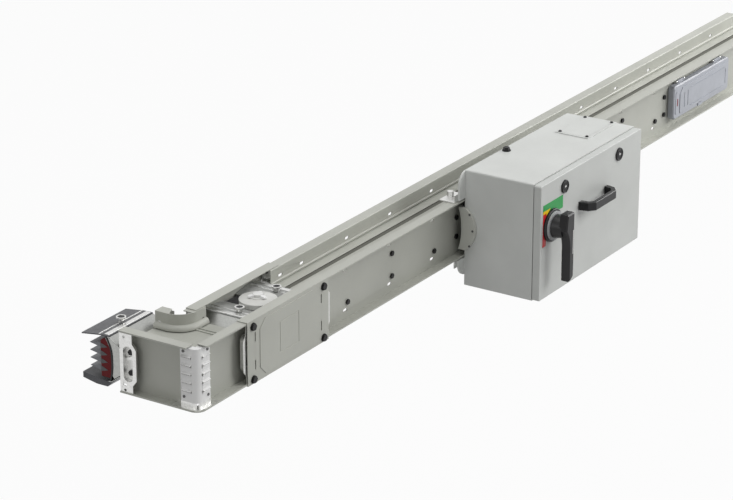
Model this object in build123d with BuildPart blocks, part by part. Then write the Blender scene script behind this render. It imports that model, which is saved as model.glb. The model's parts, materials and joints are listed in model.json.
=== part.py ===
from build123d import *
import math
import os

# Busbar trunking run with a bolted joint, a horizontal elbow and a plugged-on tap-off box.
# X runs along the trunking, Y points to its back, Z points up, all in millimetres.
# The origin is on the run's centreline, level with the underside of its bottom flanges,
# where a hanger carries the run.

os.makedirs("parts", exist_ok=True)

# Trunking section
trunk_height = 155.0
trunk_width = 169.0
sheet = 2.0
flange_depth = 27.0
bend_radius = 3.0
lip_height = 4.0
core_z = 75.0
packet_half_height = 38.0
packet_sheet = 1.5
packet_groove_depth = 3.0
packet_rim_drop = 2.0
packet_ridge_half = 9.0
packet_groove_edge = 22.0
packet_rim_width = 9.0

# Conductors
bar_count = 4
bar_pitch = 19.2
bar_thickness = 7.0
bar_width = 100.0
bar_head_width = 156.0
bar_reach = 88.0
bar_head_start = 24.0
bar_corner_cut = 9.0
free_corner_cut = 1.0
bar_tip_taper = 14.0
bar_tip_edge = 1.4
spacer_length = 30.0
spacer_pitch = 550.0
spacer_gap = 0.2

# Run layout
joint_to_hanger = 1630.0
joint_half_gap = 132.0
straight_length = 2500.0
elbow_arm = 140.0
elbow_inner_radius = 48.0
elbow_outer_radius = 25.0
flange_corner_cut = 35.0
inner_flange_length = 28.0
inner_run_flange_length = 49.0
web_corner_gap = 12.0
bead_height = 2.5
bead_width = 5.0
bead_offsets = (92.0, 104.0)

# Holes and screws in the side channels
slot_length = 16.0
slot_width = 7.0
slot_pitch = 200.0
slot_edge_z = 25.0
front_slot_start = 152.0
rear_slot_start = 133.0
rear_extra_slot = 41.0
channel_screw_radius = 7.0
channel_screw_height = 5.0
channel_screw_shank = 3.0
channel_screw_shift = 9.0
channel_screw_z = 44.0
channel_screw_upper_z = 104.0

# End brackets
bracket_sheet = 2.0
bracket_width = 36.0
bracket_bulge = 11.0
bracket_bulge_half = 38.0
bracket_shoulder = 52.0
bracket_dish_width = 30.0
bracket_dish_length = 92.0
bracket_dish_depth = 16.0
bracket_hole_radius = 3.4
bracket_hole_inset = 14.0
bracket_hole_z = 66.0
bracket_slot_z = 53.0
bracket_screw_z = 25.5
bracket_screw_inset = 23.5
hook_boss_radius = 3.5
hook_stand = 3.0
hook_sheet = 2.0
hook_length = 22.0
hook_width = 7.0
hook_tilt = 20.0
hook_rise = 11.0

# Joint covers
cover_half_length = 168.0
cover_sheet = 2.0
cover_gap = 0.3
cover_screw_radius = 10.0
cover_screw_hex = 9.0
cover_screw_flange = 1.5
cover_screw_head = 6.0
cover_screw_shank = 3.0
cover_screw_length = 12.0
cover_slot_x = 137.0
cover_slot_length = 25.0
cover_slot_width = 4.0
cover_slot_z = 35.0
panel_half_length = 119.0
panel_half_height = 70.0
panel_corner = 22.0
panel_emboss = 1.5
square_half = 40.0
square_line = 3.0
square_depth = 0.8

# Joint ends
end_gap = 0.3
end_half_width = 84.0
ramp_length = 33.0
ramp_flat = 8.0
ramp_top = 59.0
ramp_sheet = 2.0
plate_sheet = 3.0
plate_reach = 107.0
plate_knee = 55.0
plate_knee_drop = 1.0
plate_tip_drop = 8.5
base_start = 3.0
base_depth = 69.5
base_knee = 68.0
base_tip_depth = 62.0
side_plate_inset = 1.7
side_plate_reach = 40.0
side_plate_waist = 23.0
side_plate_chamfer = 6.0
lip_root_half = 6.2
lip_tip_half = 0.7
comb_start = 26.0
comb_end = 55.5
comb_half_width = 80.0
comb_half_height = 48.0
stud_offset = 56.0
stud_radius = 7.0
stud_bore = 5.0
stud_ring_radius = 12.0
stud_ring_height = 4.0
stud_recess_radius = 8.5
stud_recess_depth = 2.5
stud_top_z = 147.0

# Joint stack
splice_thickness = 3.0
splice_half_length = 76.0
splice_half_width = 75.0
stack_bore = 11.0
bolt_radius = 8.0
bolt_head_radius = 14.0
bolt_head_height = 7.0
disc_radius = 46.0
disc_edge = 12.0
disc_low_edge = 2.5
disc_rise = 4.0
disc_hub_radius = 20.0
disc_step = 1.5
nut_height = 9.0
outer_insulator = 12.0

# Louvred corner plate and gusset
corner_plate_inset = 11.0
corner_plate_sheet = 1.5
corner_plate_leg = 48.0
corner_plate_radius = 16.0
corner_plate_bottom = 17.0
corner_plate_top = 150.0
louvre_count = 5
louvre_pitch = 21.0
louvre_length = 26.0
louvre_gap = 3.0
louvre_hood = 3.0
small_screw_radius = 3.5
small_screw_height = 1.5
small_screw_shank = 1.5
gusset_sheet = 2.0
gusset_reach = 80.0

# Tap-off outlet
outlet_offset = 2143.0
outlet_length = 350.0
outlet_height = 100.0
outlet_z = 78.0
outlet_window_length = 310.0
outlet_window_height = 80.0
outlet_frame_depth = 4.0
outlet_cover_depth = 18.0
outlet_cover_wall = 2.5
outlet_cover_radius = 12.0
outlet_hinge_radius = 4.0
outlet_hinge_length = 36.0
outlet_hinge_spread = 230.0
outlet_mouth_length = 230.0
outlet_mouth_height = 11.5
outlet_screw_gap = 22.0
outlet_screw_half = 26.0

# Tap-off box
box_offset = 1065.5
box_outlet_shift = 68.5
box_width = 533.0
box_height = 315.0
box_depth = 199.0
box_sheet = 1.5
box_corner = 4.0
box_gap = 1.0
box_lip = 14.0
box_upstand = 14.0
box_mouth_length = 280.0
box_mouth_height = 76.0
entry_hole_length = 110.0
entry_hole_width = 64.0
entry_plate_length = 155.0
entry_plate_width = 100.0
entry_plate_sheet = 2.0
entry_plate_inset = 3.0
entry_plate_back = 48.0
entry_screw_inset = 10.0
entry_screw_radius = 5.0
entry_screw_height = 3.0
hex_bolt_x = 183.0
hex_bolt_back = 13.0
hex_bolt_radius = 10.0
hex_bolt_height = 10.0

# Door and its furniture
door_gap = 2.0
door_depth = 20.0
door_sheet = 1.5
door_trim = 2.5
door_corner = 5.0
gasket_width = 12.0
gasket_clearance = 0.2
hinge_inset = 30.0
hinge_length = 48.0
hinge_drop = 5.0
hinge_radius = 4.5
hinge_pin_radius = 2.0
hinge_running = 0.05
hinge_leaf_depth = 22.0
hinge_leaf_sheet = 2.0
lock_inset_x = 119.5
lock_second_x = 408.0
lock_drop = 37.0
lock_radius = 9.0
lock_head = 3.0
lock_shank = 6.0
lock_shank_gap = 0.4
lock_cam_length = 31.0
lock_cam_width = 10.0
lock_cam_sheet = 2.5
lock_slot = 2.0
lip_clearance = 2.0
grab_x = 272.0
grab_drop = 114.0
grab_half_length = 77.0
grab_reach = 40.0
grab_height = 22.0
grab_bar = 12.0
grab_foot = 16.0
handle_x = 57.0
handle_drop = 121.0
handle_plate_sheet = 1.0
handle_plate_left = 45.0
handle_plate_right = 55.0
handle_plate_top = 64.0
handle_plate_bottom = 48.0
handle_plate_strip = 16.0
handle_plate_band = 34.0
collar_radius = 44.0
collar_height = 8.0
ring_radius = 38.0
ring_height = 5.0
turn_clearance = 0.4
hub_radius = 31.0
grip_front = 59.5
grip_back = 36.5
grip_length = 141.0
grip_top = 42.0
grip_half_width = 13.0
grip_tip_half_width = 10.0
slide_length = 64.0
slide_width = 2.5
slide_depth = 8.0
slide_proud = 0.6
slide_top = 4.0
socket_radius = 12.0
socket_length = 20.0
socket_wall = 4.0
shaft_side = 10.0
shaft_clearance = 0.4
shaft_overlap = 8.0

# Box back bracket, cheeks and clamps
back_bracket_sheet = 5.0
back_bracket_overhang = 28.0
back_bracket_corner = 34.0
back_bracket_clear = 4.0
back_bracket_drop = 46.0
cheek_width = 10.0
cheek_height = 114.0
cheek_depth = 37.0
cheek_back_reach = 13.0
cheek_back_hollow = 9.5
cheek_shoulder = 8.0
cheek_screw_radius = 3.0
clamp_length = 70.0
clamp_overhang = 42.0
clamp_sheet = 3.0
clamp_hook = 10.0
clamp_tab = 22.0
clamp_bolt_radius = 9.0
clamp_bolt_head = 14.0
clamp_bolt_bore = 5.0

# Inside the box
contact_block_length = 240.0
contact_block_height = 74.0
contact_block_back = 16.0
contact_wall_gap = 0.5
contact_flange = 12.0
contact_blade = 2.0
contact_width = 22.0
contact_grip = 10.0
contact_tail = 6.0
contact_spread = 52.0
mount_plate_sheet = 2.0
mount_plate_margin = 24.0
mount_plate_standoff = 24.0
mount_plate_leg = 12.0
switch_width = 150.0
switch_height = 130.0
switch_depth = 90.0
fuse_base_width = 210.0
fuse_base_height = 150.0
fuse_base_depth = 26.0
fuse_base_gap = 24.0
fuse_count = 3
fuse_body_width = 40.0
fuse_body_height = 66.0
fuse_body_depth = 46.0
fuse_blade = 6.0
fuse_blade_length = 30.0

# Positions worked out from the sizes above
half_width = trunk_width / 2
web_y = half_width - flange_depth
web_inner = web_y - sheet
lip_inner = half_width - sheet
mid_z = trunk_height / 2
joint_x = -joint_to_hanger
straight_start = joint_x + joint_half_gap
straight_end = straight_start + straight_length
elbow_end = joint_x - joint_half_gap
leg_x = elbow_end - elbow_arm
leg_end = elbow_arm
packet_top = core_z + packet_half_height
packet_bottom = core_z - packet_half_height
bar_levels = [core_z + (i - (bar_count - 1) / 2) * bar_pitch for i in range(bar_count)]
box_x = joint_x + box_offset
box_left = box_x - box_width / 2
box_right = box_x + box_width / 2
box_back = half_width + box_gap
box_front = box_back + box_depth
box_bottom = mid_z - box_height / 2
box_top = mid_z + box_height / 2
door_back = box_front + door_gap
door_front = door_back + door_depth
upstand_front = box_front + box_upstand
outlet_x = joint_x + outlet_offset
plug_x = box_x - box_outlet_shift
outlet_positions = (plug_x, outlet_x)
hinge_y = box_front + door_gap / 2
hinge_z = box_bottom - hinge_drop
handle_axis_x = box_left + handle_x
handle_z = box_top - handle_drop
grab_z = box_top - grab_drop
handle_face = door_front + handle_plate_sheet
slot_rows = (slot_edge_z, trunk_height - slot_edge_z)
trunk_ends = (
    ("leg", leg_x, leg_end, 90.0),
    ("elbow", elbow_end, 0.0, 0.0),
    ("straight", straight_start, 0.0, 180.0),
    ("far", straight_end, 0.0, 0.0),
)
free_ends = (trunk_ends[0], trunk_ends[3])
joined_ends = trunk_ends[1:3]


def finish(piece, name):
    """Labels a finished piece and writes it."""
    piece.part.label = name
    export_step(piece.part, f"parts/{name}.step")


def end_side_plane(x, y, angle):
    """A vertical plane at a trunk end: its X points out of the end and its Y points up."""
    turn = math.radians(angle)
    outward = (math.cos(turn), math.sin(turn), 0)
    across = (math.sin(turn), -math.cos(turn), 0)
    return Plane(origin=(x, y, core_z), x_dir=outward, z_dir=across)


def end_cross_plane(x, y, angle, out):
    """A plane across a trunk end, a distance out of it, that faces outwards with Y up."""
    turn = math.radians(angle)
    outward = (math.cos(turn), math.sin(turn), 0)
    across = (-math.sin(turn), math.cos(turn), 0)
    origin = (x + out * outward[0], y + out * outward[1], 0)
    return Plane(origin=origin, x_dir=across, z_dir=outward)


def channel_outline(side):
    """The section of a side channel: a web with two lipped flanges that point outwards."""
    web_in = side * web_inner
    web_out = side * web_y
    edge = side * half_width
    edge_in = side * lip_inner
    with BuildLine() as outline:
        Polyline(
            (web_in, 0),
            (edge, 0),
            (edge, lip_height),
            (edge_in, lip_height),
            (edge_in, sheet),
            (web_out, sheet),
            (web_out, trunk_height - sheet),
            (edge_in, trunk_height - sheet),
            (edge_in, trunk_height - lip_height),
            (edge, trunk_height - lip_height),
            (edge, trunk_height),
            (web_in, trunk_height),
            close=True,
        )
    make_face(outline.edges())


def round_web_bends():
    """Rounds the outer corner of each bend between the web and a flange."""
    bends = [v for v in vertices() if abs(abs(v.X) - web_inner) < 0.01]
    fillet(bends, bend_radius)


def half_section(points):
    """A section that is the same on both sides of the centreline, from its right half."""
    mirrored = [(-x, z) for x, z in reversed(points)]
    return mirrored + points


def packet_outline(up):
    """The ribbed section of a packet sheet; up is 1 for the top sheet and -1 for the bottom."""
    outer = up * packet_half_height + core_z
    inner = outer - up * packet_groove_depth
    rim = outer - up * packet_rim_drop
    slope = packet_groove_depth
    rim_start = web_inner - packet_rim_width
    path = half_section(
        [
            (packet_ridge_half, outer),
            (packet_ridge_half + slope, inner),
            (packet_groove_edge - slope, inner),
            (packet_groove_edge, outer),
            (rim_start, outer),
            (rim_start + packet_rim_drop, rim),
            (web_inner, rim),
        ]
    )
    below = [(x, z - up * packet_sheet) for x, z in reversed(path)]
    with BuildLine() as outline:
        Polyline(*path, *below, close=True)
    make_face(outline.edges())


def elbow_plan(half, inner_radius, outer_radius):
    """The plan of the elbow's duct: an L with a rounded inner and outer corner."""
    with BuildLine() as outline:
        Polyline(
            (elbow_end, -half),
            (leg_x - half, -half),
            (leg_x - half, leg_end),
            (leg_x + half, leg_end),
            (leg_x + half, half),
            (elbow_end, half),
            close=True,
        )
    make_face(outline.edges())
    inner = vertices().sort_by_distance((leg_x + half, half, 0))[0]
    fillet(inner, inner_radius)
    outer = vertices().sort_by_distance((leg_x - half, -half, 0))[0]
    fillet(outer, outer_radius)


def bar_head(end):
    """The widened end of a conductor: free ends stop in the comb, joined ends reach into the joint."""
    name, x, y, angle = end
    half = bar_width / 2
    head = bar_head_width / 2
    reach = comb_end if end in free_ends else bar_reach
    cut = free_corner_cut if end in free_ends else bar_corner_cut
    with Locations(Location((x, y, 0), (0, 0, angle))):
        Polygon(
            (-1, -half),
            (end_gap + sheet, -half),
            (bar_head_start, -head),
            (reach - cut, -head),
            (reach, -head + cut),
            (reach, head - cut),
            (reach - cut, head),
            (bar_head_start, head),
            (end_gap + sheet, half),
            (-1, half),
            align=None,
        )


def point_bar_tips(x, y, angle):
    """Tapers the tips of all conductors at a joined trunk end."""
    taper_start = bar_reach - bar_tip_taper
    surface = bar_thickness / 2
    with BuildSketch(end_side_plane(x, y, angle)) as profile:
        for level in bar_levels:
            z = level - core_z
            for up in (-1, 1):
                Polygon(
                    (taper_start, z + up * surface),
                    (bar_reach + 1, z + up * bar_tip_edge / 2),
                    (bar_reach + 1, z + up * (surface + 1)),
                    (taper_start, z + up * (surface + 1)),
                    align=None,
                )
    extrude(profile.sketch, amount=bar_head_width, both=True, mode=Mode.SUBTRACT)


def hex_heads(plane, places, radius, height):
    """Hexagon heads that stand on a plane."""
    with BuildSketch(plane) as profile:
        with Locations(*places):
            RegularPolygon(radius, 6)
    extrude(profile.sketch, amount=height)


def head_flanges(plane, places, radius, height):
    """Thin round flanges under bolt heads."""
    with BuildSketch(plane) as profile:
        with Locations(*places):
            Circle(radius)
    extrude(profile.sketch, amount=height)


def shanks(plane, places, radius, length):
    """Plain screw shanks that go back from a plane."""
    with BuildSketch(plane) as profile:
        with Locations(*places):
            Circle(radius)
    extrude(profile.sketch, amount=-length)


def web_slots(places):
    """Slots through a side channel's web at these places along the run and heights."""
    with BuildSketch(Plane.XZ) as profile:
        with Locations(*places):
            SlotOverall(slot_length, slot_width)
    extrude(profile.sketch, amount=half_width, both=True, mode=Mode.SUBTRACT)


def places_along(start, rows):
    """Hole places from a first distance along the straight length, in each row."""
    count = int((straight_length - start) // slot_pitch) + 1
    return [(straight_start + start + i * slot_pitch, z) for i in range(count) for z in rows]


def clear_of_outlets(places):
    """Leaves out the places that fall on an outlet or on its screws."""
    reach = outlet_length / 2 + outlet_screw_gap + slot_length
    return [p for p in places if all(abs(p[0] - x) > reach for x in outlet_positions)]


# Screws of the side channels, shared by the channels' holes and the screws' node
front_slots = clear_of_outlets(places_along(front_slot_start, slot_rows))
rear_slots = places_along(rear_slot_start, slot_rows)
rear_slots += [(straight_start + rear_extra_slot, z) for z in slot_rows]
lower_screws = clear_of_outlets(
    [(x + channel_screw_shift, channel_screw_z) for x, z in front_slots if z == slot_edge_z]
)
upper_screws = [(x, channel_screw_upper_z) for x, z in lower_screws[1::4]]
outlet_screws = [
    (x + side * (outlet_length / 2 + outlet_screw_gap), core_z + up * outlet_screw_half)
    for x in outlet_positions
    for side in (-1, 1)
    for up in (-1, 1)
]
side_screws = lower_screws + upper_screws + outlet_screws


def screw_holes(places):
    """Round holes through a web for the channel screws."""
    with BuildSketch(Plane.XZ) as profile:
        with Locations(*places):
            Circle(channel_screw_shank)
    extrude(profile.sketch, amount=half_width, both=True, mode=Mode.SUBTRACT)


# Straight length: side channels
bracket_screws_straight = [
    (x, core_z + up * bracket_screw_z)
    for x in (straight_start + bracket_screw_inset, straight_end - bracket_screw_inset)
    for up in (-1, 1)
]
with BuildPart() as straight_front_channel:
    with BuildSketch(Plane.YZ.offset(straight_start)):
        channel_outline(-1)
        round_web_bends()
    extrude(amount=straight_length)
    web_slots(front_slots)
    screw_holes(side_screws + bracket_screws_straight)
    with BuildSketch(Plane.XZ.offset(web_inner)):
        with Locations(*[(x, outlet_z) for x in outlet_positions]):
            Rectangle(outlet_window_length, outlet_window_height)
    extrude(amount=sheet, mode=Mode.SUBTRACT)
finish(straight_front_channel, "straight_front_channel")

with BuildPart() as straight_rear_channel:
    with BuildSketch(Plane.YZ.offset(straight_start)):
        channel_outline(1)
        round_web_bends()
    extrude(amount=straight_length)
    web_slots(rear_slots)
    screw_holes(lower_screws + bracket_screws_straight)
finish(straight_rear_channel, "straight_rear_channel")

# Straight length: ribbed sheets over and under the conductors
for up, name in ((1, "straight_top_sheet"), (-1, "straight_bottom_sheet")):
    with BuildPart() as packet_piece:
        with BuildSketch(Plane.YZ.offset(straight_start)):
            packet_outline(up)
        extrude(amount=straight_length)
    finish(packet_piece, name)

# Straight length: conductors, widened at both ends
with BuildPart() as straight_bars:
    for level in bar_levels:
        with BuildSketch(Plane.XY.offset(level)):
            with Locations(((straight_start + straight_end) / 2, 0)):
                Rectangle(straight_length, bar_width)
            for end in trunk_ends[2:]:
                bar_head(end)
        extrude(amount=bar_thickness / 2, both=True)
    point_bar_tips(straight_start, 0, 180)
finish(straight_bars, "straight_bars")

# Elbow: conductors
with BuildPart() as elbow_bars:
    for level in bar_levels:
        with BuildSketch(Plane.XY.offset(level)):
            elbow_plan(bar_width / 2, elbow_inner_radius + web_y - bar_width / 2, elbow_outer_radius)
            for end in trunk_ends[:2]:
                bar_head(end)
        extrude(amount=bar_thickness / 2, both=True)
    point_bar_tips(elbow_end, 0, 0)
finish(elbow_bars, "elbow_bars")

# Moulded spacers that hold the conductors apart inside the ducts
spacer_half = packet_half_height - packet_groove_depth - packet_sheet - spacer_gap
spacer_count = int((straight_length - 2 * spacer_length) // spacer_pitch) + 1
spacer_step = (straight_length - 3 * spacer_length) / (spacer_count - 1)
spacer_planes = [
    Plane.YZ.offset(straight_start + spacer_length + i * spacer_step) for i in range(spacer_count)
]
spacer_planes += [
    end_cross_plane(x, y, angle, -spacer_length - sheet) for name, x, y, angle in trunk_ends[:2]
]
with BuildPart() as bar_spacers:
    for plane in spacer_planes:
        with BuildSketch(plane):
            with Locations((0, core_z)):
                Rectangle(2 * web_inner, 2 * spacer_half)
            with Locations(*[(0, level) for level in bar_levels]):
                Rectangle(bar_width, bar_thickness, mode=Mode.SUBTRACT)
        extrude(amount=spacer_length)
finish(bar_spacers, "bar_spacers")


def cut_flange_corner():
    """Cuts the top flanges square beside the corner and rounds the bottom flange's corner."""
    corner_x = leg_x - half_width
    corner_y = -half_width
    with BuildSketch(Plane.XY.offset(mid_z)) as profile:
        with Locations((corner_x, corner_y)):
            Rectangle(2 * flange_corner_cut, 2 * flange_corner_cut)
    extrude(profile.sketch, amount=mid_z, mode=Mode.SUBTRACT)
    with BuildSketch(Plane.XY) as profile:
        with Locations((corner_x, corner_y)):
            Rectangle(2 * elbow_outer_radius, 2 * elbow_outer_radius)
        with Locations((corner_x + elbow_outer_radius, corner_y + elbow_outer_radius)):
            Circle(elbow_outer_radius, mode=Mode.SUBTRACT)
            Rectangle(elbow_outer_radius, 2 * elbow_outer_radius, align=(Align.MIN, Align.CENTER),
                      mode=Mode.SUBTRACT)
            Rectangle(2 * elbow_outer_radius, elbow_outer_radius, align=(Align.CENTER, Align.MIN),
                      mode=Mode.SUBTRACT)
    extrude(profile.sketch, amount=mid_z, mode=Mode.SUBTRACT)
    with BuildSketch(Plane.XY.offset(sheet)) as profile:
        with Locations((leg_x - web_y, -web_y)):
            Rectangle(2 * web_corner_gap, 2 * web_corner_gap)
    extrude(profile.sketch, amount=trunk_height - 2 * sheet, mode=Mode.SUBTRACT)


# Elbow: outer side channels, mitred at the outer corner
with BuildPart() as elbow_front_channel:
    with BuildSketch(Plane.YZ.offset(leg_x - half_width)):
        channel_outline(-1)
        round_web_bends()
    extrude(amount=elbow_arm + half_width)
    with BuildSketch(Plane.XY):
        Polygon(
            (leg_x - half_width, -half_width),
            (elbow_end, -half_width),
            (elbow_end, -web_inner),
            (leg_x - web_inner, -web_inner),
            align=None,
        )
    extrude(amount=trunk_height, mode=Mode.INTERSECT)
    cut_flange_corner()
    with BuildSketch(Plane.XZ):
        with Locations(*[(elbow_end - bracket_screw_inset, core_z + up * bracket_screw_z)
                         for up in (-1, 1)]):
            Circle(channel_screw_shank)
    extrude(amount=half_width, both=True, mode=Mode.SUBTRACT)
finish(elbow_front_channel, "elbow_front_channel")

with BuildPart() as elbow_leg_channel:
    with BuildSketch(Plane(origin=(leg_x, leg_end, 0), x_dir=(1, 0, 0), z_dir=(0, -1, 0))):
        channel_outline(-1)
        round_web_bends()
    extrude(amount=elbow_arm + half_width)
    with BuildSketch(Plane.XY):
        Polygon(
            (leg_x - half_width, -half_width),
            (leg_x - web_inner, -web_inner),
            (leg_x - web_inner, leg_end),
            (leg_x - half_width, leg_end),
            align=None,
        )
    extrude(amount=trunk_height, mode=Mode.INTERSECT)
    cut_flange_corner()
    with BuildSketch(Plane.YZ.offset(leg_x - web_y)):
        with Locations(*[(leg_end - bracket_screw_inset, core_z + up * bracket_screw_z)
                         for up in (-1, 1)]):
            Circle(channel_screw_shank)
    extrude(amount=sheet, mode=Mode.SUBTRACT)
finish(elbow_leg_channel, "elbow_leg_channel")

# Elbow: inner side channel, rolled round the inner corner, with flanges at its two ends
bend_x = leg_x + web_y + elbow_inner_radius
bend_y = web_y + elbow_inner_radius
with BuildPart() as elbow_inner_channel:
    with BuildSketch(Plane.XY):
        with BuildLine():
            l1 = Line((leg_x + web_y, leg_end), (leg_x + web_y, bend_y))
            l2 = RadiusArc(l1 @ 1, (bend_x, web_y), -elbow_inner_radius)
            l3 = Line(l2 @ 1, (elbow_end, web_y))
            l4 = Line(l3 @ 1, (elbow_end, web_inner))
            l5 = Line(l4 @ 1, (bend_x, web_inner))
            l6 = RadiusArc(l5 @ 1, (leg_x + web_inner, bend_y), elbow_inner_radius + sheet)
            l7 = Line(l6 @ 1, (leg_x + web_inner, leg_end))
            Line(l7 @ 1, l1 @ 0)
        make_face()
    extrude(amount=trunk_height)
    with BuildSketch(Plane.XY):
        with BuildLine():
            Polyline(
                (leg_x + web_inner, leg_end),
                (leg_x + half_width, leg_end),
                (leg_x + half_width, leg_end - inner_flange_length),
                (leg_x + web_inner, leg_end - inner_flange_length - elbow_inner_radius / 4),
                close=True,
            )
        make_face()
        with BuildLine():
            Polyline(
                (elbow_end, web_inner),
                (elbow_end, half_width),
                (elbow_end - inner_run_flange_length, half_width),
                (elbow_end - inner_run_flange_length, web_inner),
                close=True,
            )
        make_face()
    extrude(amount=sheet)
    mirror(about=Plane.XY.offset(mid_z))
    with BuildSketch(Plane.YZ.offset(leg_x + web_inner)):
        with Locations(*[(leg_end - bracket_screw_inset / 2, z) for z in slot_rows]):
            SlotOverall(slot_length / 2, slot_width / 2)
        with Locations(*[(leg_end - bracket_screw_inset, core_z + up * bracket_screw_z)
                         for up in (-1, 1)]):
            Circle(channel_screw_shank)
    extrude(amount=sheet, mode=Mode.SUBTRACT)
    with BuildSketch(Plane.XZ.offset(-web_inner)):
        with Locations(*[(elbow_end - bracket_screw_inset / 2, z) for z in slot_rows]):
            SlotOverall(slot_length / 2, slot_width / 2)
        with Locations(*[(elbow_end - bracket_screw_inset, core_z + up * bracket_screw_z)
                         for up in (-1, 1)]):
            Circle(channel_screw_shank)
    extrude(amount=-sheet, mode=Mode.SUBTRACT)
finish(elbow_inner_channel, "elbow_inner_channel")

# Elbow: flat sheets over and under the conductors, the top one with two cross beads
sheet_plan_radius = elbow_inner_radius + sheet
with BuildPart() as elbow_top_sheet:
    with BuildSketch(Plane.XY.offset(packet_top - packet_sheet)):
        elbow_plan(web_inner, sheet_plan_radius, elbow_outer_radius)
    extrude(amount=packet_sheet)
    with BuildSketch(Plane.YZ.offset(leg_x + bead_offsets[0] - bead_width / 2)):
        with Locations((0, packet_top)):
            Polygon((-web_inner + 1, 0), (web_inner - 1, 0), (web_inner - bead_width, bead_height),
                    (-web_inner + bead_width, bead_height), align=None)
    extrude(amount=bead_width)
    with BuildSketch(Plane.YZ.offset(leg_x + bead_offsets[1] - bead_width / 2)):
        with Locations((0, packet_top)):
            Polygon((-web_inner + 1, 0), (web_inner - 1, 0), (web_inner - bead_width, bead_height),
                    (-web_inner + bead_width, bead_height), align=None)
    extrude(amount=bead_width)
finish(elbow_top_sheet, "elbow_top_sheet")

with BuildPart() as elbow_bottom_sheet:
    with BuildSketch(Plane.XY.offset(packet_bottom)):
        elbow_plan(web_inner, sheet_plan_radius, elbow_outer_radius)
    extrude(amount=packet_sheet)
finish(elbow_bottom_sheet, "elbow_bottom_sheet")

# Louvred corner plate: a folded box over the open web corner
plate_out = half_width - corner_plate_inset
plate_in = plate_out - corner_plate_sheet
louvre_z = (corner_plate_bottom + corner_plate_top) / 2
louvre_levels = [louvre_z + (i - (louvre_count - 1) / 2) * louvre_pitch for i in range(louvre_count)]
louvre_middle = -plate_out + corner_plate_leg - louvre_length / 2 - 4


def corner_plate_outline(out, ends):
    """The outer outline of the corner plate, an L with one rounded corner, down to the web."""
    with BuildLine() as outline:
        l1 = Line((leg_x - web_y, -out + ends), (leg_x - out, -out + ends))
        l2 = Line(l1 @ 1, (leg_x - out, -out + corner_plate_radius))
        l3 = RadiusArc(l2 @ 1, (leg_x - out + corner_plate_radius, -out), -corner_plate_radius)
        l4 = Line(l3 @ 1, (leg_x - out + ends, -out))
        l5 = Line(l4 @ 1, (leg_x - out + ends, -web_y))
        l6 = Line(l5 @ 1, (leg_x - web_y, -web_y))
        Line(l6 @ 1, l1 @ 0)
    make_face(outline.edges())


with BuildPart() as corner_louvre_plate:
    with BuildSketch(Plane.XY.offset(corner_plate_bottom)):
        corner_plate_outline(plate_out, corner_plate_leg)
    extrude(amount=corner_plate_top - corner_plate_bottom)
    with BuildSketch(Plane.XY.offset(corner_plate_bottom - 1)):
        with Locations((leg_x - web_y, -web_y)):
            Rectangle(plate_in - web_y, corner_plate_leg, align=(Align.MAX, Align.MIN))
            Rectangle(corner_plate_leg, plate_in - web_y, align=(Align.MIN, Align.MAX))
        with Locations((leg_x - plate_out + corner_plate_radius,
                        -plate_out + corner_plate_radius)):
            Circle(corner_plate_radius - corner_plate_sheet)
    extrude(amount=corner_plate_top - corner_plate_bottom + 1 - corner_plate_sheet,
            mode=Mode.SUBTRACT)
    with BuildSketch(Plane.XY.offset(corner_plate_bottom)):
        with Locations((leg_x - web_y, -plate_out + corner_plate_leg)):
            Rectangle(plate_out - web_y, corner_plate_sheet, align=(Align.MAX, Align.MAX))
        with Locations((leg_x - plate_out + corner_plate_leg, -web_y)):
            Rectangle(corner_plate_sheet, plate_out - web_y, align=(Align.MAX, Align.MAX))
    extrude(amount=corner_plate_top - corner_plate_bottom)
    for level in louvre_levels:
        with BuildSketch(Plane.XZ.offset(plate_in)):
            with Locations((leg_x + louvre_middle, level)):
                Rectangle(louvre_length, louvre_gap)
        extrude(amount=corner_plate_sheet, mode=Mode.SUBTRACT)
        with BuildSketch(Plane.YZ.offset(leg_x - plate_out)):
            with Locations((louvre_middle, level)):
                Rectangle(louvre_length, louvre_gap)
        extrude(amount=corner_plate_sheet, mode=Mode.SUBTRACT)
        with BuildSketch(Plane.YZ.offset(leg_x + louvre_middle - louvre_length / 2)):
            with Locations((-plate_out, level + louvre_gap / 2)):
                Polygon((0, 0), (-louvre_hood, -louvre_gap), (0, louvre_hood), align=None)
        extrude(amount=louvre_length)
        with BuildSketch(Plane.XZ.offset(-louvre_middle - louvre_length / 2)):
            with Locations((leg_x - plate_out, level + louvre_gap / 2)):
                Polygon((0, 0), (-louvre_hood, -louvre_gap), (0, louvre_hood), align=None)
        extrude(amount=louvre_length)
finish(corner_louvre_plate, "corner_louvre_plate")

# Bright gusset that ties the bottom flanges together at the corner
gusset_out = half_width - sheet - end_gap
gusset_end = -half_width + gusset_reach
with BuildPart() as corner_gusset:
    with BuildSketch(Plane.XY.offset(sheet)):
        with BuildLine():
            l1 = Line((leg_x - web_y, gusset_end), (leg_x - gusset_out, gusset_end))
            l2 = Line(l1 @ 1, (leg_x - gusset_out, -gusset_out + elbow_outer_radius))
            l3 = RadiusArc(l2 @ 1, (leg_x - gusset_out + elbow_outer_radius, -gusset_out),
                           -elbow_outer_radius)
            l4 = Line(l3 @ 1, (leg_x + gusset_end, -gusset_out))
            l5 = Line(l4 @ 1, (leg_x + gusset_end, -web_y))
            l6 = Line(l5 @ 1, (leg_x - web_y, -web_y))
            Line(l6 @ 1, l1 @ 0)
        make_face()
    extrude(amount=gusset_sheet)
    with BuildSketch(Plane.XY.offset(sheet)):
        corner_plate_outline(plate_out, corner_plate_leg)
        with Locations((leg_x - plate_in + gusset_sheet, -plate_in + gusset_sheet)):
            Rectangle(2 * plate_out, 2 * plate_out, align=(Align.MIN, Align.MIN),
                      mode=Mode.SUBTRACT)
    extrude(amount=corner_plate_bottom - sheet)
finish(corner_gusset, "corner_gusset")

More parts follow.
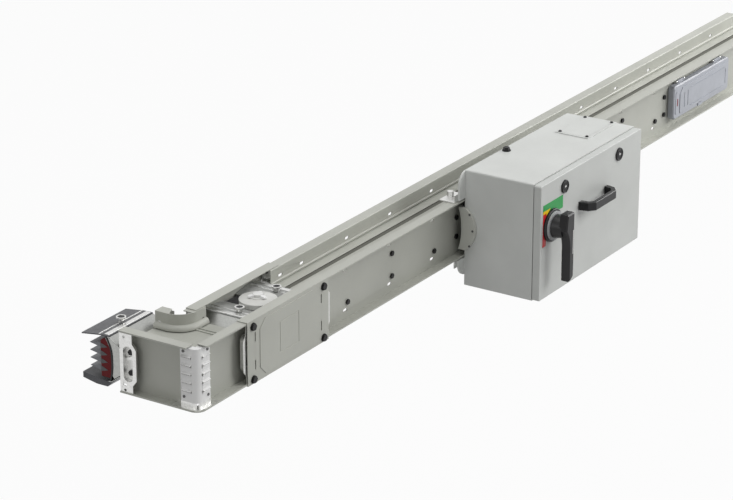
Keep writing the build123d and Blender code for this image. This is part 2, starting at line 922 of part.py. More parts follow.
# End brackets behind the flange lips at the trunk ends
bracket_out = lip_inner
bracket_half_height = mid_z - sheet - end_gap
bracket_mid = core_z
bracket_screw_places = [(bracket_screw_inset, core_z + up * bracket_screw_z) for up in (-1, 1)]


def bracket_outline():
    """An end bracket's outline, with its end at the left: X goes back from the trunk end."""
    with BuildLine() as outline:
        Polyline(
            (0, -bracket_half_height + mid_z),
            (bracket_width, -bracket_half_height + mid_z),
            (bracket_width, bracket_mid - bracket_shoulder),
            (bracket_width + bracket_bulge, bracket_mid - bracket_bulge_half),
            (bracket_width + bracket_bulge, bracket_mid + bracket_bulge_half),
            (bracket_width, bracket_mid + bracket_shoulder),
            (bracket_width, bracket_half_height + mid_z),
            (0, bracket_half_height + mid_z),
            close=True,
        )
    make_face(outline.edges())
    with Locations(*[(bracket_hole_inset, core_z + up * bracket_hole_z) for up in (-1, 1)]):
        Circle(bracket_hole_radius, mode=Mode.SUBTRACT)
    with Locations((bracket_hole_inset, core_z - bracket_slot_z)):
        SlotOverall(10, 5, mode=Mode.SUBTRACT)


def bracket_planes():
    """Each end bracket's outer face plane, with X going back from the end, and its side."""
    planes = []
    for name, x, y, angle in trunk_ends:
        turn = math.radians(angle)
        for side in (-1, 1):
            origin = (x - side * bracket_out * math.sin(turn), y + side * bracket_out * math.cos(turn))
            back = (-math.cos(turn), -math.sin(turn), 0)
            outward = (-math.sin(turn), math.cos(turn), 0)
            planes.append((Plane(origin=(*origin, 0), x_dir=back, z_dir=outward), side))
    return planes


dish_floor = bracket_dish_depth - bracket_sheet
with BuildPart() as end_brackets:
    for plane, side in bracket_planes():
        with BuildSketch(plane):
            bracket_outline()
        extrude(amount=-bracket_sheet * side)
        with BuildSketch(plane):
            with Locations((bracket_screw_inset, bracket_mid)):
                SlotOverall(bracket_dish_length, bracket_dish_width, rotation=90)
        extrude(amount=-bracket_dish_depth * side)
        with BuildSketch(plane):
            with Locations((bracket_screw_inset, bracket_mid)):
                SlotOverall(bracket_dish_length - 2 * bracket_sheet,
                            bracket_dish_width - 2 * bracket_sheet, rotation=90)
        extrude(amount=-dish_floor * side, mode=Mode.SUBTRACT)
        with BuildSketch(plane):
            with Locations(*bracket_screw_places):
                Circle(channel_screw_shank)
        extrude(amount=-bracket_dish_depth * side, mode=Mode.SUBTRACT)
finish(end_brackets, "end_brackets")

# Bright hooks on the floor of each bracket's dish
with BuildPart() as bracket_hooks:
    for plane, side in bracket_planes():
        with BuildSketch(plane.offset(-dish_floor * side)):
            with Locations((bracket_screw_inset, bracket_mid + hook_rise)):
                Circle(hook_boss_radius)
        extrude(amount=hook_stand * side)
        with BuildSketch(plane.offset((hook_stand - dish_floor) * side)):
            with Locations((bracket_screw_inset, bracket_mid + hook_rise)):
                SlotOverall(hook_length, hook_width, rotation=hook_tilt)
        extrude(amount=hook_sheet * side)
finish(bracket_hooks, "bracket_hooks")

# Black screws: through the front and rear webs, and through each bracket's dish into the web
dish_shank = bracket_out - dish_floor - web_inner
with BuildPart() as channel_screws:
    hex_heads(Plane.XZ.offset(web_y), side_screws, channel_screw_radius, channel_screw_height)
    shanks(Plane.XZ.offset(web_y), side_screws, channel_screw_shank, sheet)
    hex_heads(Plane.XZ.offset(-web_y), lower_screws, channel_screw_radius, -channel_screw_height)
    shanks(Plane.XZ.offset(-web_y), lower_screws, channel_screw_shank, -sheet)
    for plane, side in bracket_planes():
        floor_plane = plane.offset(-dish_floor * side)
        hex_heads(floor_plane, bracket_screw_places, channel_screw_radius,
                  channel_screw_height * side)
        shanks(floor_plane, bracket_screw_places, channel_screw_shank, dish_shank * side)
finish(channel_screws, "channel_screws")

# Joint covers: pressed plates that cap the flanges on both sides of the joint
cover_in = half_width + cover_gap
cover_out = cover_in + cover_sheet
cover_screw_x = joint_half_gap + bracket_hole_inset
cover_places = [
    (joint_x + side * cover_screw_x, core_z + up * bracket_hole_z)
    for side in (-1, 1)
    for up in (-1, 1)
]


def joint_cover(side):
    """A joint cover on one side of the run, with its folded edges, panel, slots and holes."""
    low = -cover_gap - cover_sheet
    high = trunk_height + cover_gap + cover_sheet
    with BuildSketch(Plane.YZ.offset(joint_x - cover_half_length)) as profile:
        with BuildLine() as outline:
            Polyline(
                (side * web_y, low),
                (side * cover_out, low),
                (side * cover_out, high),
                (side * web_y, high),
                (side * web_y, high - cover_sheet),
                (side * cover_in, high - cover_sheet),
                (side * cover_in, low + cover_sheet),
                (side * web_y, low + cover_sheet),
                close=True,
            )
        make_face(outline.edges())
    extrude(profile.sketch, amount=2 * cover_half_length)
    for grow, depth, at, mode in ((0, panel_emboss, cover_out, Mode.ADD),
                                  (cover_sheet, panel_emboss, cover_in, Mode.SUBTRACT)):
        half_x = panel_half_length - grow
        half_z = panel_half_height - grow
        with BuildSketch(Plane.XZ.offset(-side * at)) as profile:
            with Locations((joint_x, mid_z)):
                Polygon(
                    (-half_x, -half_z + panel_corner),
                    (-half_x + panel_corner, -half_z),
                    (half_x - panel_corner, -half_z),
                    (half_x, -half_z + panel_corner),
                    (half_x, half_z - panel_corner),
                    (half_x - panel_corner, half_z),
                    (-half_x + panel_corner, half_z),
                    (-half_x, half_z - panel_corner),
                    align=None,
                )
        extrude(profile.sketch, amount=-side * depth, mode=mode)
    with BuildSketch(Plane.XZ.offset(-side * (cover_out + panel_emboss))) as profile:
        with Locations((joint_x, mid_z)):
            Rectangle(2 * square_half, 2 * square_half)
            Rectangle(2 * (square_half - square_line), 2 * (square_half - square_line),
                      mode=Mode.SUBTRACT)
    extrude(profile.sketch, amount=side * square_depth, mode=Mode.SUBTRACT)
    with BuildSketch(Plane.XZ.offset(-side * cover_in)) as profile:
        with Locations(*[(joint_x + a * cover_slot_x, mid_z + b * cover_slot_z)
                         for a in (-1, 1) for b in (-1, 1)]):
            SlotOverall(cover_slot_length, cover_slot_width, rotation=90)
        with Locations(*cover_places):
            Circle(cover_screw_shank)
    extrude(profile.sketch, amount=-side * cover_sheet, mode=Mode.SUBTRACT)


with BuildPart() as joint_cover_front:
    joint_cover(-1)
finish(joint_cover_front, "joint_cover_front")

with BuildPart() as joint_cover_rear:
    joint_cover(1)
finish(joint_cover_rear, "joint_cover_rear")

with BuildPart() as joint_cover_screws:
    head_flanges(Plane.XZ.offset(cover_out), cover_places, cover_screw_radius, cover_screw_flange)
    hex_heads(Plane.XZ.offset(cover_out), cover_places, cover_screw_hex, cover_screw_head)
    shanks(Plane.XZ.offset(cover_out), cover_places, cover_screw_shank, cover_screw_length)
    mirror(about=Plane.XZ)
finish(joint_cover_screws, "joint_cover_screws")

# Joint ends: flared end sheets, pressure plates, insulating combs and studs
knee_top = ramp_top - plate_knee_drop
tip_top = ramp_top - plate_tip_drop
ramp_level = ramp_top - plate_sheet
ramp_foot = ramp_length - ramp_flat
ramp_slope = (ramp_level - packet_half_height) / (ramp_foot - end_gap)
side_plate_foot = side_plate_waist - side_plate_chamfer

with BuildPart() as joint_end_sheets:
    for name, x, y, angle in trunk_ends:
        side_plane = end_side_plane(x, y, angle)
        with BuildSketch(side_plane):
            for up in (-1, 1):
                Polygon(
                    (end_gap, up * packet_half_height),
                    (ramp_foot, up * ramp_level),
                    (ramp_length, up * ramp_level),
                    (ramp_length, up * (ramp_level - ramp_sheet)),
                    (ramp_foot, up * (ramp_level - ramp_sheet)),
                    (end_gap, up * (packet_half_height - ramp_sheet)),
                    align=None,
                )
        extrude(amount=end_half_width, both=True)
        for across in (-1, 1):
            with BuildSketch(side_plane.offset(across * (end_half_width - side_plate_inset))):
                Polygon(
                    (end_gap, packet_half_height - 2 * ramp_sheet),
                    (ramp_foot, ramp_level - 2 * ramp_sheet),
                    (side_plate_reach, ramp_level - 2 * ramp_sheet),
                    (side_plate_waist, packet_half_height / 2),
                    (side_plate_waist, -packet_half_height),
                    (side_plate_foot, -packet_half_height - ramp_slope * side_plate_foot
                     + 2 * ramp_sheet + end_gap),
                    (end_gap, -packet_half_height + 2 * ramp_sheet),
                    align=None,
                )
            extrude(amount=-across * ramp_sheet)
finish(joint_end_sheets, "joint_end_sheets")

with BuildPart() as pressure_plates:
    for name, x, y, angle in trunk_ends:
        with BuildSketch(end_side_plane(x, y, angle)):
            Polygon(
                (ramp_foot + 2, ramp_top),
                (ramp_length, ramp_top),
                (plate_knee, knee_top),
                (plate_reach, tip_top),
                (plate_reach, tip_top - plate_sheet),
                (plate_knee, knee_top - plate_sheet),
                (ramp_length, ramp_level),
                (ramp_foot + 2, ramp_level),
                align=None,
            )
            Polygon(
                (ramp_foot, -ramp_level),
                (ramp_length, -ramp_level),
                (plate_knee, -knee_top + plate_sheet),
                (plate_reach, -tip_top + plate_sheet),
                (plate_reach, -base_tip_depth),
                (base_knee, -base_depth),
                (ramp_length + 3, -base_depth),
                (base_start, -packet_half_height - ramp_slope * (base_start - end_gap)),
                align=None,
            )
        extrude(amount=end_half_width, both=True)
finish(pressure_plates, "pressure_plates")

with BuildPart() as end_combs:
    for name, x, y, angle in trunk_ends:
        with BuildSketch(end_side_plane(x, y, angle)):
            Polygon(
                (comb_start, -comb_half_height),
                (comb_end, -comb_half_height),
                (comb_end, comb_half_height - 6),
                (comb_end - 8, comb_half_height),
                (comb_start, comb_half_height),
                align=None,
            )
        extrude(amount=comb_half_width, both=True)
        with BuildSketch(end_side_plane(x, y, angle)):
            for level in bar_levels:
                with Locations(((comb_start + comb_end) / 2, level - core_z)):
                    Rectangle(comb_end - comb_start + 2, bar_thickness)
        extrude(amount=bar_head_width / 2, both=True, mode=Mode.SUBTRACT)
finish(end_combs, "end_combs")

# Pointed contact lips on the conductors at the two free ends
with BuildPart() as joint_lips:
    for name, x, y, angle in free_ends:
        with BuildSketch(end_side_plane(x, y, angle)):
            for level in bar_levels:
                z = level - core_z
                Polygon(
                    (comb_end, z - lip_root_half),
                    (bar_reach, z - lip_tip_half),
                    (bar_reach, z + lip_tip_half),
                    (comb_end, z + lip_root_half),
                    align=None,
                )
        extrude(amount=bar_head_width / 2, both=True)
finish(joint_lips, "joint_lips")

with BuildPart() as spacer_studs:
    for name, x, y, angle in trunk_ends:
        turn = math.radians(angle)
        stud_x = x + stud_offset * math.cos(turn)
        stud_y = y + stud_offset * math.sin(turn)
        stud_base = core_z + ramp_top - end_gap
        with BuildSketch(Plane.XY.offset(stud_base)):
            with Locations((stud_x, stud_y)):
                Circle(stud_radius)
                Circle(stud_bore, mode=Mode.SUBTRACT)
        extrude(amount=stud_top_z - stud_base)
        with BuildSketch(Plane.XY.offset(stud_top_z - stud_ring_height)):
            with Locations((stud_x, stud_y)):
                Circle(stud_ring_radius)
                Circle(stud_bore, mode=Mode.SUBTRACT)
        extrude(amount=stud_ring_height)
        with BuildSketch(Plane.XY.offset(stud_top_z - stud_recess_depth)):
            with Locations((stud_x, stud_y)):
                Circle(stud_recess_radius)
        extrude(amount=stud_recess_depth, mode=Mode.SUBTRACT)
finish(spacer_studs, "spacer_studs")

# Joint stack: splice plates on both faces of each conductor, insulators between them
stack_gap = bar_pitch - bar_thickness - 2 * splice_thickness
with BuildPart() as joint_splice_plates:
    for level in bar_levels:
        for base in (level + bar_thickness / 2, level - bar_thickness / 2 - splice_thickness):
            with BuildSketch(Plane.XY.offset(base)):
                with Locations((joint_x, 0)):
                    Rectangle(2 * splice_half_length, 2 * splice_half_width)
                    Circle(stack_bore, mode=Mode.SUBTRACT)
            extrude(amount=splice_thickness)
finish(joint_splice_plates, "joint_splice_plates")

stack_top = bar_levels[-1] + bar_thickness / 2 + splice_thickness
stack_bottom = bar_levels[0] - bar_thickness / 2 - splice_thickness
insulator_layers = [
    (level + bar_thickness / 2 + splice_thickness, stack_gap) for level in bar_levels[:-1]
]
insulator_layers += [(stack_top, outer_insulator), (stack_bottom - outer_insulator, outer_insulator)]
with BuildPart() as joint_insulators:
    for base, thickness in insulator_layers:
        with BuildSketch(Plane.XY.offset(base)):
            with Locations((joint_x, 0)):
                Rectangle(2 * (splice_half_length - 4), 2 * comb_half_width)
                Circle(stack_bore, mode=Mode.SUBTRACT)
        extrude(amount=thickness)
finish(joint_insulators, "joint_insulators")

# Joint bolt with its domed spring discs above and below
disc_seat = core_z + tip_top + (ramp_top - tip_top - plate_knee_drop) * 0.5
disc_seat_low = core_z - base_depth - 0.3
disc_top = disc_seat + disc_edge + disc_rise
with BuildPart() as joint_spring_discs:
    with BuildSketch(Plane(origin=(joint_x, 0, 0), x_dir=(1, 0, 0), z_dir=(0, -1, 0))):
        Polygon(
            (bolt_radius + 1, disc_seat + disc_rise),
            (disc_hub_radius, disc_seat + disc_rise),
            (disc_radius, disc_seat),
            (disc_radius, disc_seat + disc_edge),
            (disc_hub_radius, disc_top),
            (disc_hub_radius, disc_top + disc_step),
            (bolt_radius + 1, disc_top + disc_step),
            align=None,
        )
        Polygon(
            (bolt_radius + 1, disc_seat_low),
            (disc_radius, disc_seat_low),
            (disc_radius, disc_seat_low - disc_low_edge),
            (bolt_radius + 1, disc_seat_low - disc_low_edge),
            align=None,
        )
    revolve(axis=Axis((joint_x, 0, 0), (0, 0, 1)))
finish(joint_spring_discs, "joint_spring_discs")

bolt_seat = disc_top + disc_step
bolt_low = disc_seat_low - disc_low_edge
with BuildPart() as joint_bolt:
    with BuildSketch(Plane.XY.offset(bolt_low - nut_height)):
        with Locations((joint_x, 0)):
            Circle(bolt_radius)
    extrude(amount=bolt_seat - bolt_low + nut_height)
    with BuildSketch(Plane.XY.offset(bolt_seat)):
        with Locations((joint_x, 0)):
            RegularPolygon(bolt_head_radius, 6)
    extrude(amount=bolt_head_height)
    with BuildSketch(Plane.XY.offset(bolt_low - nut_height + 1)):
        with Locations((joint_x, 0)):
            RegularPolygon(bolt_head_radius, 6)
    extrude(amount=nut_height - 1)
finish(joint_bolt, "joint_bolt")

# Tap-off outlets: a moulded frame in the web with one mouth for each conductor
with BuildPart() as outlet_frames:
    for x in outlet_positions:
        with BuildSketch(Plane.XZ.offset(web_y)):
            with Locations((x, outlet_z)):
                Rectangle(outlet_length - 8, outlet_height - 8)
        extrude(amount=outlet_frame_depth)
        with BuildSketch(Plane.XZ.offset(web_inner)):
            with Locations((x, outlet_z)):
                Rectangle(outlet_window_length - 0.6, outlet_window_height - 0.6)
        extrude(amount=sheet)
        with BuildSketch(Plane.XZ.offset(web_inner)):
            with Locations(*[(x, level) for level in bar_levels]):
                Rectangle(outlet_mouth_length, outlet_mouth_height, mode=Mode.ADD)
        extrude(amount=sheet + outlet_frame_depth, mode=Mode.SUBTRACT)
finish(outlet_frames, "outlet_frames")

# Hinged cover over the free outlet
cover_back_y = web_y + outlet_frame_depth + 0.3
cover_front_y = cover_back_y + outlet_cover_depth
outlet_hinge_z = outlet_z + outlet_height / 2 + outlet_hinge_radius
outlet_hinge_y = cover_back_y + outlet_hinge_radius
with BuildPart() as outlet_cover:
    with BuildSketch(Plane.XZ.offset(cover_back_y)):
        with Locations((outlet_x, outlet_z)):
            RectangleRounded(outlet_length, outlet_height, outlet_cover_radius)
    extrude(amount=outlet_cover_depth)
    front_edges = edges().group_by(Axis.Y)[0]
    chamfer(front_edges, 3)
    with BuildSketch(Plane.XZ.offset(cover_back_y)):
        with Locations((outlet_x, outlet_z)):
            RectangleRounded(outlet_length - 2 * outlet_cover_wall - 6,
                             outlet_height - 2 * outlet_cover_wall - 6,
                             outlet_cover_radius - outlet_cover_wall - 3)
    extrude(amount=outlet_cover_depth - outlet_cover_wall, mode=Mode.SUBTRACT)
    for side in (-1, 1):
        knuckle_x = outlet_x + side * outlet_hinge_spread / 2
        with BuildSketch(Plane.YZ.offset(knuckle_x - outlet_hinge_length / 2)):
            with Locations((-outlet_hinge_y, outlet_hinge_z)):
                Circle(outlet_hinge_radius)
            with Locations((-outlet_hinge_y, outlet_hinge_z - outlet_hinge_radius / 2)):
                Rectangle(2 * outlet_hinge_radius, outlet_hinge_radius + 4)
        extrude(amount=outlet_hinge_length)
    with BuildSketch(Plane.YZ.offset(outlet_x - outlet_hinge_spread)):
        with Locations((-outlet_hinge_y, outlet_hinge_z)):
            Circle(outlet_hinge_radius / 2 + hinge_running)
    extrude(amount=2 * outlet_hinge_spread, mode=Mode.SUBTRACT)
finish(outlet_cover, "outlet_cover")

with BuildPart() as outlet_hinge_pins:
    for side in (-1, 1):
        knuckle_x = outlet_x + side * outlet_hinge_spread / 2
        with BuildSketch(Plane.YZ.offset(knuckle_x - outlet_hinge_length / 2 - 6)):
            with Locations((-outlet_hinge_y, outlet_hinge_z)):
                Circle(outlet_hinge_radius / 2)
        extrude(amount=outlet_hinge_length + 12)
        for end in (-1, 1):
            ear_x = knuckle_x + end * (outlet_hinge_length / 2 + 4)
            with BuildSketch(Plane.YZ.offset(ear_x - 2)):
                with Locations((-outlet_hinge_y, outlet_hinge_z)):
                    Circle(outlet_hinge_radius)
                with Locations((-web_y, outlet_hinge_z)):
                    Rectangle(outlet_hinge_y - web_y, 2 * outlet_hinge_radius,
                              align=(Align.MAX, Align.CENTER))
            extrude(amount=4)
finish(outlet_hinge_pins, "outlet_hinge_pins")

# Tap-off box body: a folded box, open to the front, with a lip and a gasket upstand
with BuildPart() as box_body:
    with BuildSketch(Plane.XZ.offset(box_back)):
        with Locations((box_x, mid_z)):
            RectangleRounded(box_width, box_height, box_corner)
    extrude(amount=box_depth)
    with BuildSketch(Plane.XZ.offset(box_back + box_sheet)):
        with Locations((box_x, mid_z)):
            Rectangle(box_width - 2 * box_sheet, box_height - 2 * box_sheet)
    extrude(amount=box_depth - 2 * box_sheet, mode=Mode.SUBTRACT)
    with BuildSketch(Plane.XZ.offset(box_front - box_sheet)):
        with Locations((box_x, mid_z)):
            Rectangle(box_width - 2 * box_lip, box_height - 2 * box_lip)
    extrude(amount=box_sheet, mode=Mode.SUBTRACT)
    with BuildSketch(Plane.XZ.offset(box_front - box_sheet)):
        with Locations((box_x, mid_z)):
            Rectangle(box_width - 2 * box_lip, box_height - 2 * box_lip)
            Rectangle(box_width - 2 * (box_lip + box_sheet), box_height - 2 * (box_lip + box_sheet),
                      mode=Mode.SUBTRACT)
    extrude(amount=box_upstand + box_sheet)
    with BuildSketch(Plane.XZ.offset(box_back)):
        with Locations((plug_x, core_z)):
            Rectangle(box_mouth_length, box_mouth_height)
    extrude(amount=box_sheet, mode=Mode.SUBTRACT)
    entry_x = box_right - entry_plate_inset - entry_plate_length / 2
    entry_y = -box_back - entry_plate_back - entry_plate_width / 2
    with BuildSketch(Plane.XY.offset(box_top - box_sheet)):
        with Locations((entry_x, entry_y)):
            Rectangle(entry_hole_length, entry_hole_width)
    extrude(amount=box_sheet, mode=Mode.SUBTRACT)
    entry_places = [
        (entry_x + a * (entry_plate_length / 2 - entry_screw_inset),
         entry_y + b * (entry_plate_width / 2 - entry_screw_inset))
        for a in (-1, 1)
        for b in (-1, 1)
    ]
    bolt_place = (box_left + hex_bolt_x, -box_back - hex_bolt_back)
    with BuildSketch(Plane.XY.offset(box_top - box_sheet)):
        with Locations(*entry_places):
            Circle(entry_screw_radius / 2)
        with Locations(bolt_place):
            Circle(hex_bolt_radius / 2)
    extrude(amount=box_sheet, mode=Mode.SUBTRACT)
finish(box_body, "box_body")

with BuildPart() as cable_entry_plate:
    with BuildSketch(Plane.XY.offset(box_top)):
        with Locations((entry_x, entry_y)):
            Rectangle(entry_plate_length, entry_plate_width)
        with Locations(*entry_places):
            Circle(entry_screw_radius / 2, mode=Mode.SUBTRACT)
    extrude(amount=entry_plate_sheet)
finish(cable_entry_plate, "cable_entry_plate")

entry_top = Plane.XY.offset(box_top + entry_plate_sheet)
with BuildPart() as box_top_screws:
    with BuildSketch(entry_top):
        with Locations(*entry_places):
            Circle(entry_screw_radius)
    extrude(amount=entry_screw_height, taper=25)
    shanks(entry_top, entry_places, entry_screw_radius / 2, entry_plate_sheet + box_sheet + 3)
    with BuildSketch(Plane.XY.offset(box_top)):
        with Locations(bolt_place):
            Circle(hex_bolt_radius * 1.15)
    extrude(amount=2)
    with BuildSketch(Plane.XY.offset(box_top + 2)):
        with Locations(bolt_place):
            RegularPolygon(hex_bolt_radius, 6)
    extrude(amount=hex_bolt_height - 2, taper=12)
    shanks(Plane.XY.offset(box_top), [bolt_place], hex_bolt_radius / 2, 10)
finish(box_top_screws, "box_top_screws")

# Door: a pressed tray with a rounded rim
door_low = box_bottom + door_trim
door_high = box_top - door_trim
door_height = door_high - door_low
lock_z = box_top - lock_drop
lock_places = [(box_left + lock_inset_x, lock_z), (box_left + lock_second_x, lock_z)]
with BuildPart() as door:
    with BuildSketch(Plane.XZ.offset(door_back)):
        with Locations((box_x, mid_z)):
            RectangleRounded(box_width, door_height, door_corner)
    extrude(amount=door_depth)
    fillet(edges().group_by(Axis.Y)[0], 2)
    with BuildSketch(Plane.XZ.offset(door_back)):
        with Locations((box_x, mid_z)):
            RectangleRounded(box_width - 2 * door_sheet, door_height - 2 * door_sheet,
                             door_corner - door_sheet)
    extrude(amount=door_depth - door_sheet, mode=Mode.SUBTRACT)
    with BuildSketch(Plane.XZ.offset(door_front - door_sheet)):
        with Locations(*lock_places):
            Circle(lock_shank + lock_shank_gap)
        with Locations((handle_axis_x, handle_z)):
            Circle(socket_radius + shaft_clearance)
    extrude(amount=door_sheet, mode=Mode.SUBTRACT)
finish(door, "door")

gasket_outer_x = box_width - 2 * (box_lip - gasket_width / 2 + box_sheet / 2)
gasket_outer_z = box_height - 2 * (box_lip - gasket_width / 2 + box_sheet / 2)
with BuildPart() as door_gasket:
    with BuildSketch(Plane.XZ.offset(upstand_front + gasket_clearance)):
        with Locations((box_x, mid_z)):
            RectangleRounded(gasket_outer_x, gasket_outer_z, 8)
            Rectangle(gasket_outer_x - 2 * gasket_width, gasket_outer_z - 2 * gasket_width,
                      mode=Mode.SUBTRACT)
    extrude(amount=door_front - door_sheet - upstand_front - gasket_clearance)
finish(door_gasket, "door_gasket")

# Door hinges at the bottom edge: body leaves, door leaves and pins
hinge_centres = (box_left + hinge_inset + hinge_length / 2, box_right - hinge_inset - hinge_length / 2)
knuckle = hinge_length / 3


def barrel_piece(start, length, bore):
    """One knuckle of a hinge barrel about the door's axis."""
    with BuildSketch(Plane.YZ.offset(start)) as profile:
        with Locations((-hinge_y, hinge_z)):
            Circle(hinge_radius)
    extrude(profile.sketch, amount=length)
    with BuildSketch(Plane.YZ.offset(start)) as profile:
        with Locations((-hinge_y, hinge_z)):
            Circle(bore)
    extrude(profile.sketch, amount=length, mode=Mode.SUBTRACT)


with BuildPart() as hinge_body_leaves:
    for centre in hinge_centres:
        with BuildSketch(Plane.XY.offset(box_bottom - hinge_leaf_sheet)):
            with Locations((centre - hinge_length / 2 + knuckle / 2, -hinge_y + hinge_leaf_depth / 2)):
                Rectangle(knuckle, hinge_leaf_depth)
            with Locations((centre + hinge_length / 2 - knuckle / 2, -hinge_y + hinge_leaf_depth / 2)):
                Rectangle(knuckle, hinge_leaf_depth)
            with Locations((centre, -hinge_y + hinge_leaf_depth)):
                Rectangle(hinge_length, hinge_leaf_depth / 2)
        extrude(amount=hinge_leaf_sheet)
        for start in (centre - hinge_length / 2, centre + hinge_length / 2 - knuckle):
            barrel_piece(start, knuckle, hinge_pin_radius)
finish(hinge_body_leaves, "hinge_body_leaves")

with BuildPart() as hinge_pins:
    for centre in hinge_centres:
        with BuildSketch(Plane.YZ.offset(centre - hinge_length / 2)):
            with Locations((-hinge_y, hinge_z)):
                Circle(hinge_pin_radius)
        extrude(amount=hinge_length)
finish(hinge_pins, "hinge_pins")

with BuildPart() as hinge_door_leaves:
    for centre in hinge_centres:
        leaf_half = knuckle / 2 - 0.3
        with BuildSketch(Plane.YZ.offset(centre - leaf_half)):
            Polygon(
                (-hinge_y, hinge_z - hinge_radius * 0.6),
                (-door_front + 4, door_low - hinge_leaf_sheet),
                (-door_front + 4, door_low),
                (-door_back, door_low),
                (-hinge_y, hinge_z + hinge_radius * 0.6),
                align=None,
            )
        extrude(amount=2 * leaf_half)
        barrel_piece(centre - leaf_half, 2 * leaf_half, hinge_pin_radius + hinge_running)
        with BuildSketch(Plane.YZ.offset(centre - leaf_half)):
            with Locations((-hinge_y, hinge_z)):
                Circle(hinge_pin_radius + hinge_running)
        extrude(amount=2 * leaf_half, mode=Mode.SUBTRACT)
finish(hinge_door_leaves, "hinge_door_leaves")

# Quarter-turn locks: a slotted button outside, a cam inside that goes behind the box's lip
cam_back = box_front - box_sheet - lip_clearance
for number, place in enumerate(lock_places):
    with BuildPart() as lock:
        with BuildSketch(Plane.XZ.offset(door_front + turn_clearance)):
            with Locations(place):
                Circle(lock_radius)
        extrude(amount=lock_head, taper=15)
        with BuildSketch(Plane.XZ.offset(cam_back - lock_cam_sheet)):
            with Locations(place):
                Circle(lock_shank)
        extrude(amount=door_front - cam_back + lock_cam_sheet)
        with BuildSketch(Plane.XZ.offset(cam_back - lock_cam_sheet)):
            with Locations((place[0] + lock_cam_length / 2 - lock_shank / 2, place[1])):
                Rectangle(lock_cam_length + lock_shank, lock_cam_width)
        extrude(amount=lock_cam_sheet)
        with BuildSketch(Plane.XZ.offset(door_front + turn_clearance + lock_head)):
            with Locations(place):
                Rectangle(lock_radius, lock_slot)
        extrude(amount=-lock_head / 2, mode=Mode.SUBTRACT)
    finish(lock, ("lock_left", "lock_right")[number])

# Grab handle: one bent bar on two sloped feet
with BuildPart() as grab_handle:
    with BuildSketch(Plane.XY.offset(grab_z - grab_height / 2)):
        with Locations((box_left + grab_x, -door_front)):
            Polygon(
                (-grab_half_length, 0),
                (-grab_half_length + 6, -grab_reach + 14),
                (-grab_half_length + 24, -grab_reach),
                (grab_half_length - 24, -grab_reach),
                (grab_half_length - 6, -grab_reach + 14),
                (grab_half_length, 0),
                (grab_half_length - grab_foot, 0),
                (grab_half_length - grab_foot - 4, -grab_reach + 14 + grab_bar / 2),
                (grab_half_length - 28, -grab_reach + grab_bar),
                (-grab_half_length + 28, -grab_reach + grab_bar),
                (-grab_half_length + grab_foot + 4, -grab_reach + 14 + grab_bar / 2),
                (-grab_half_length + grab_foot, 0),
                align=None,
            )
    extrude(amount=grab_height)
    fillet(edges().filter_by(Axis.Z), 2.5)
    chamfer(faces().sort_by(Axis.Z)[-1].edges(), 1.5)
finish(grab_handle, "grab_handle")

# Coloured plate beside and above the rotary handle
with BuildPart() as handle_plate:
    with BuildSketch(Plane.XZ.offset(door_front)):
        with Locations((handle_axis_x, handle_z)):
            Polygon(
                (-handle_plate_left, -handle_plate_bottom),
                (-handle_plate_left + handle_plate_strip, -handle_plate_bottom),
                (-handle_plate_left + handle_plate_strip, handle_plate_top - handle_plate_band),
                (handle_plate_right, handle_plate_top - handle_plate_band),
                (handle_plate_right, handle_plate_top),
                (-handle_plate_left, handle_plate_top),
                align=None,
            )
            Circle(collar_radius, mode=Mode.SUBTRACT)
    extrude(amount=handle_plate_sheet)
finish(handle_plate, "handle_plate")

with BuildPart() as handle_collar:
    with BuildSketch(Plane.XZ.offset(door_front)):
        with Locations((handle_axis_x, handle_z)):
            Circle(collar_radius - end_gap)
            Circle(socket_radius + shaft_clearance, mode=Mode.SUBTRACT)
    extrude(amount=collar_height)
    chamfer(edges().group_by(Axis.Y)[0].sort_by(SortBy.RADIUS)[-1], 2)
finish(handle_collar, "handle_collar")

with BuildPart() as handle_ring:
    with BuildSketch(Plane.XZ.offset(door_front + collar_height)):
        with Locations((handle_axis_x, handle_z)):
            Circle(ring_radius)
            Circle(socket_radius + shaft_clearance, mode=Mode.SUBTRACT)
    extrude(amount=ring_height)
finish(handle_ring, "handle_ring")

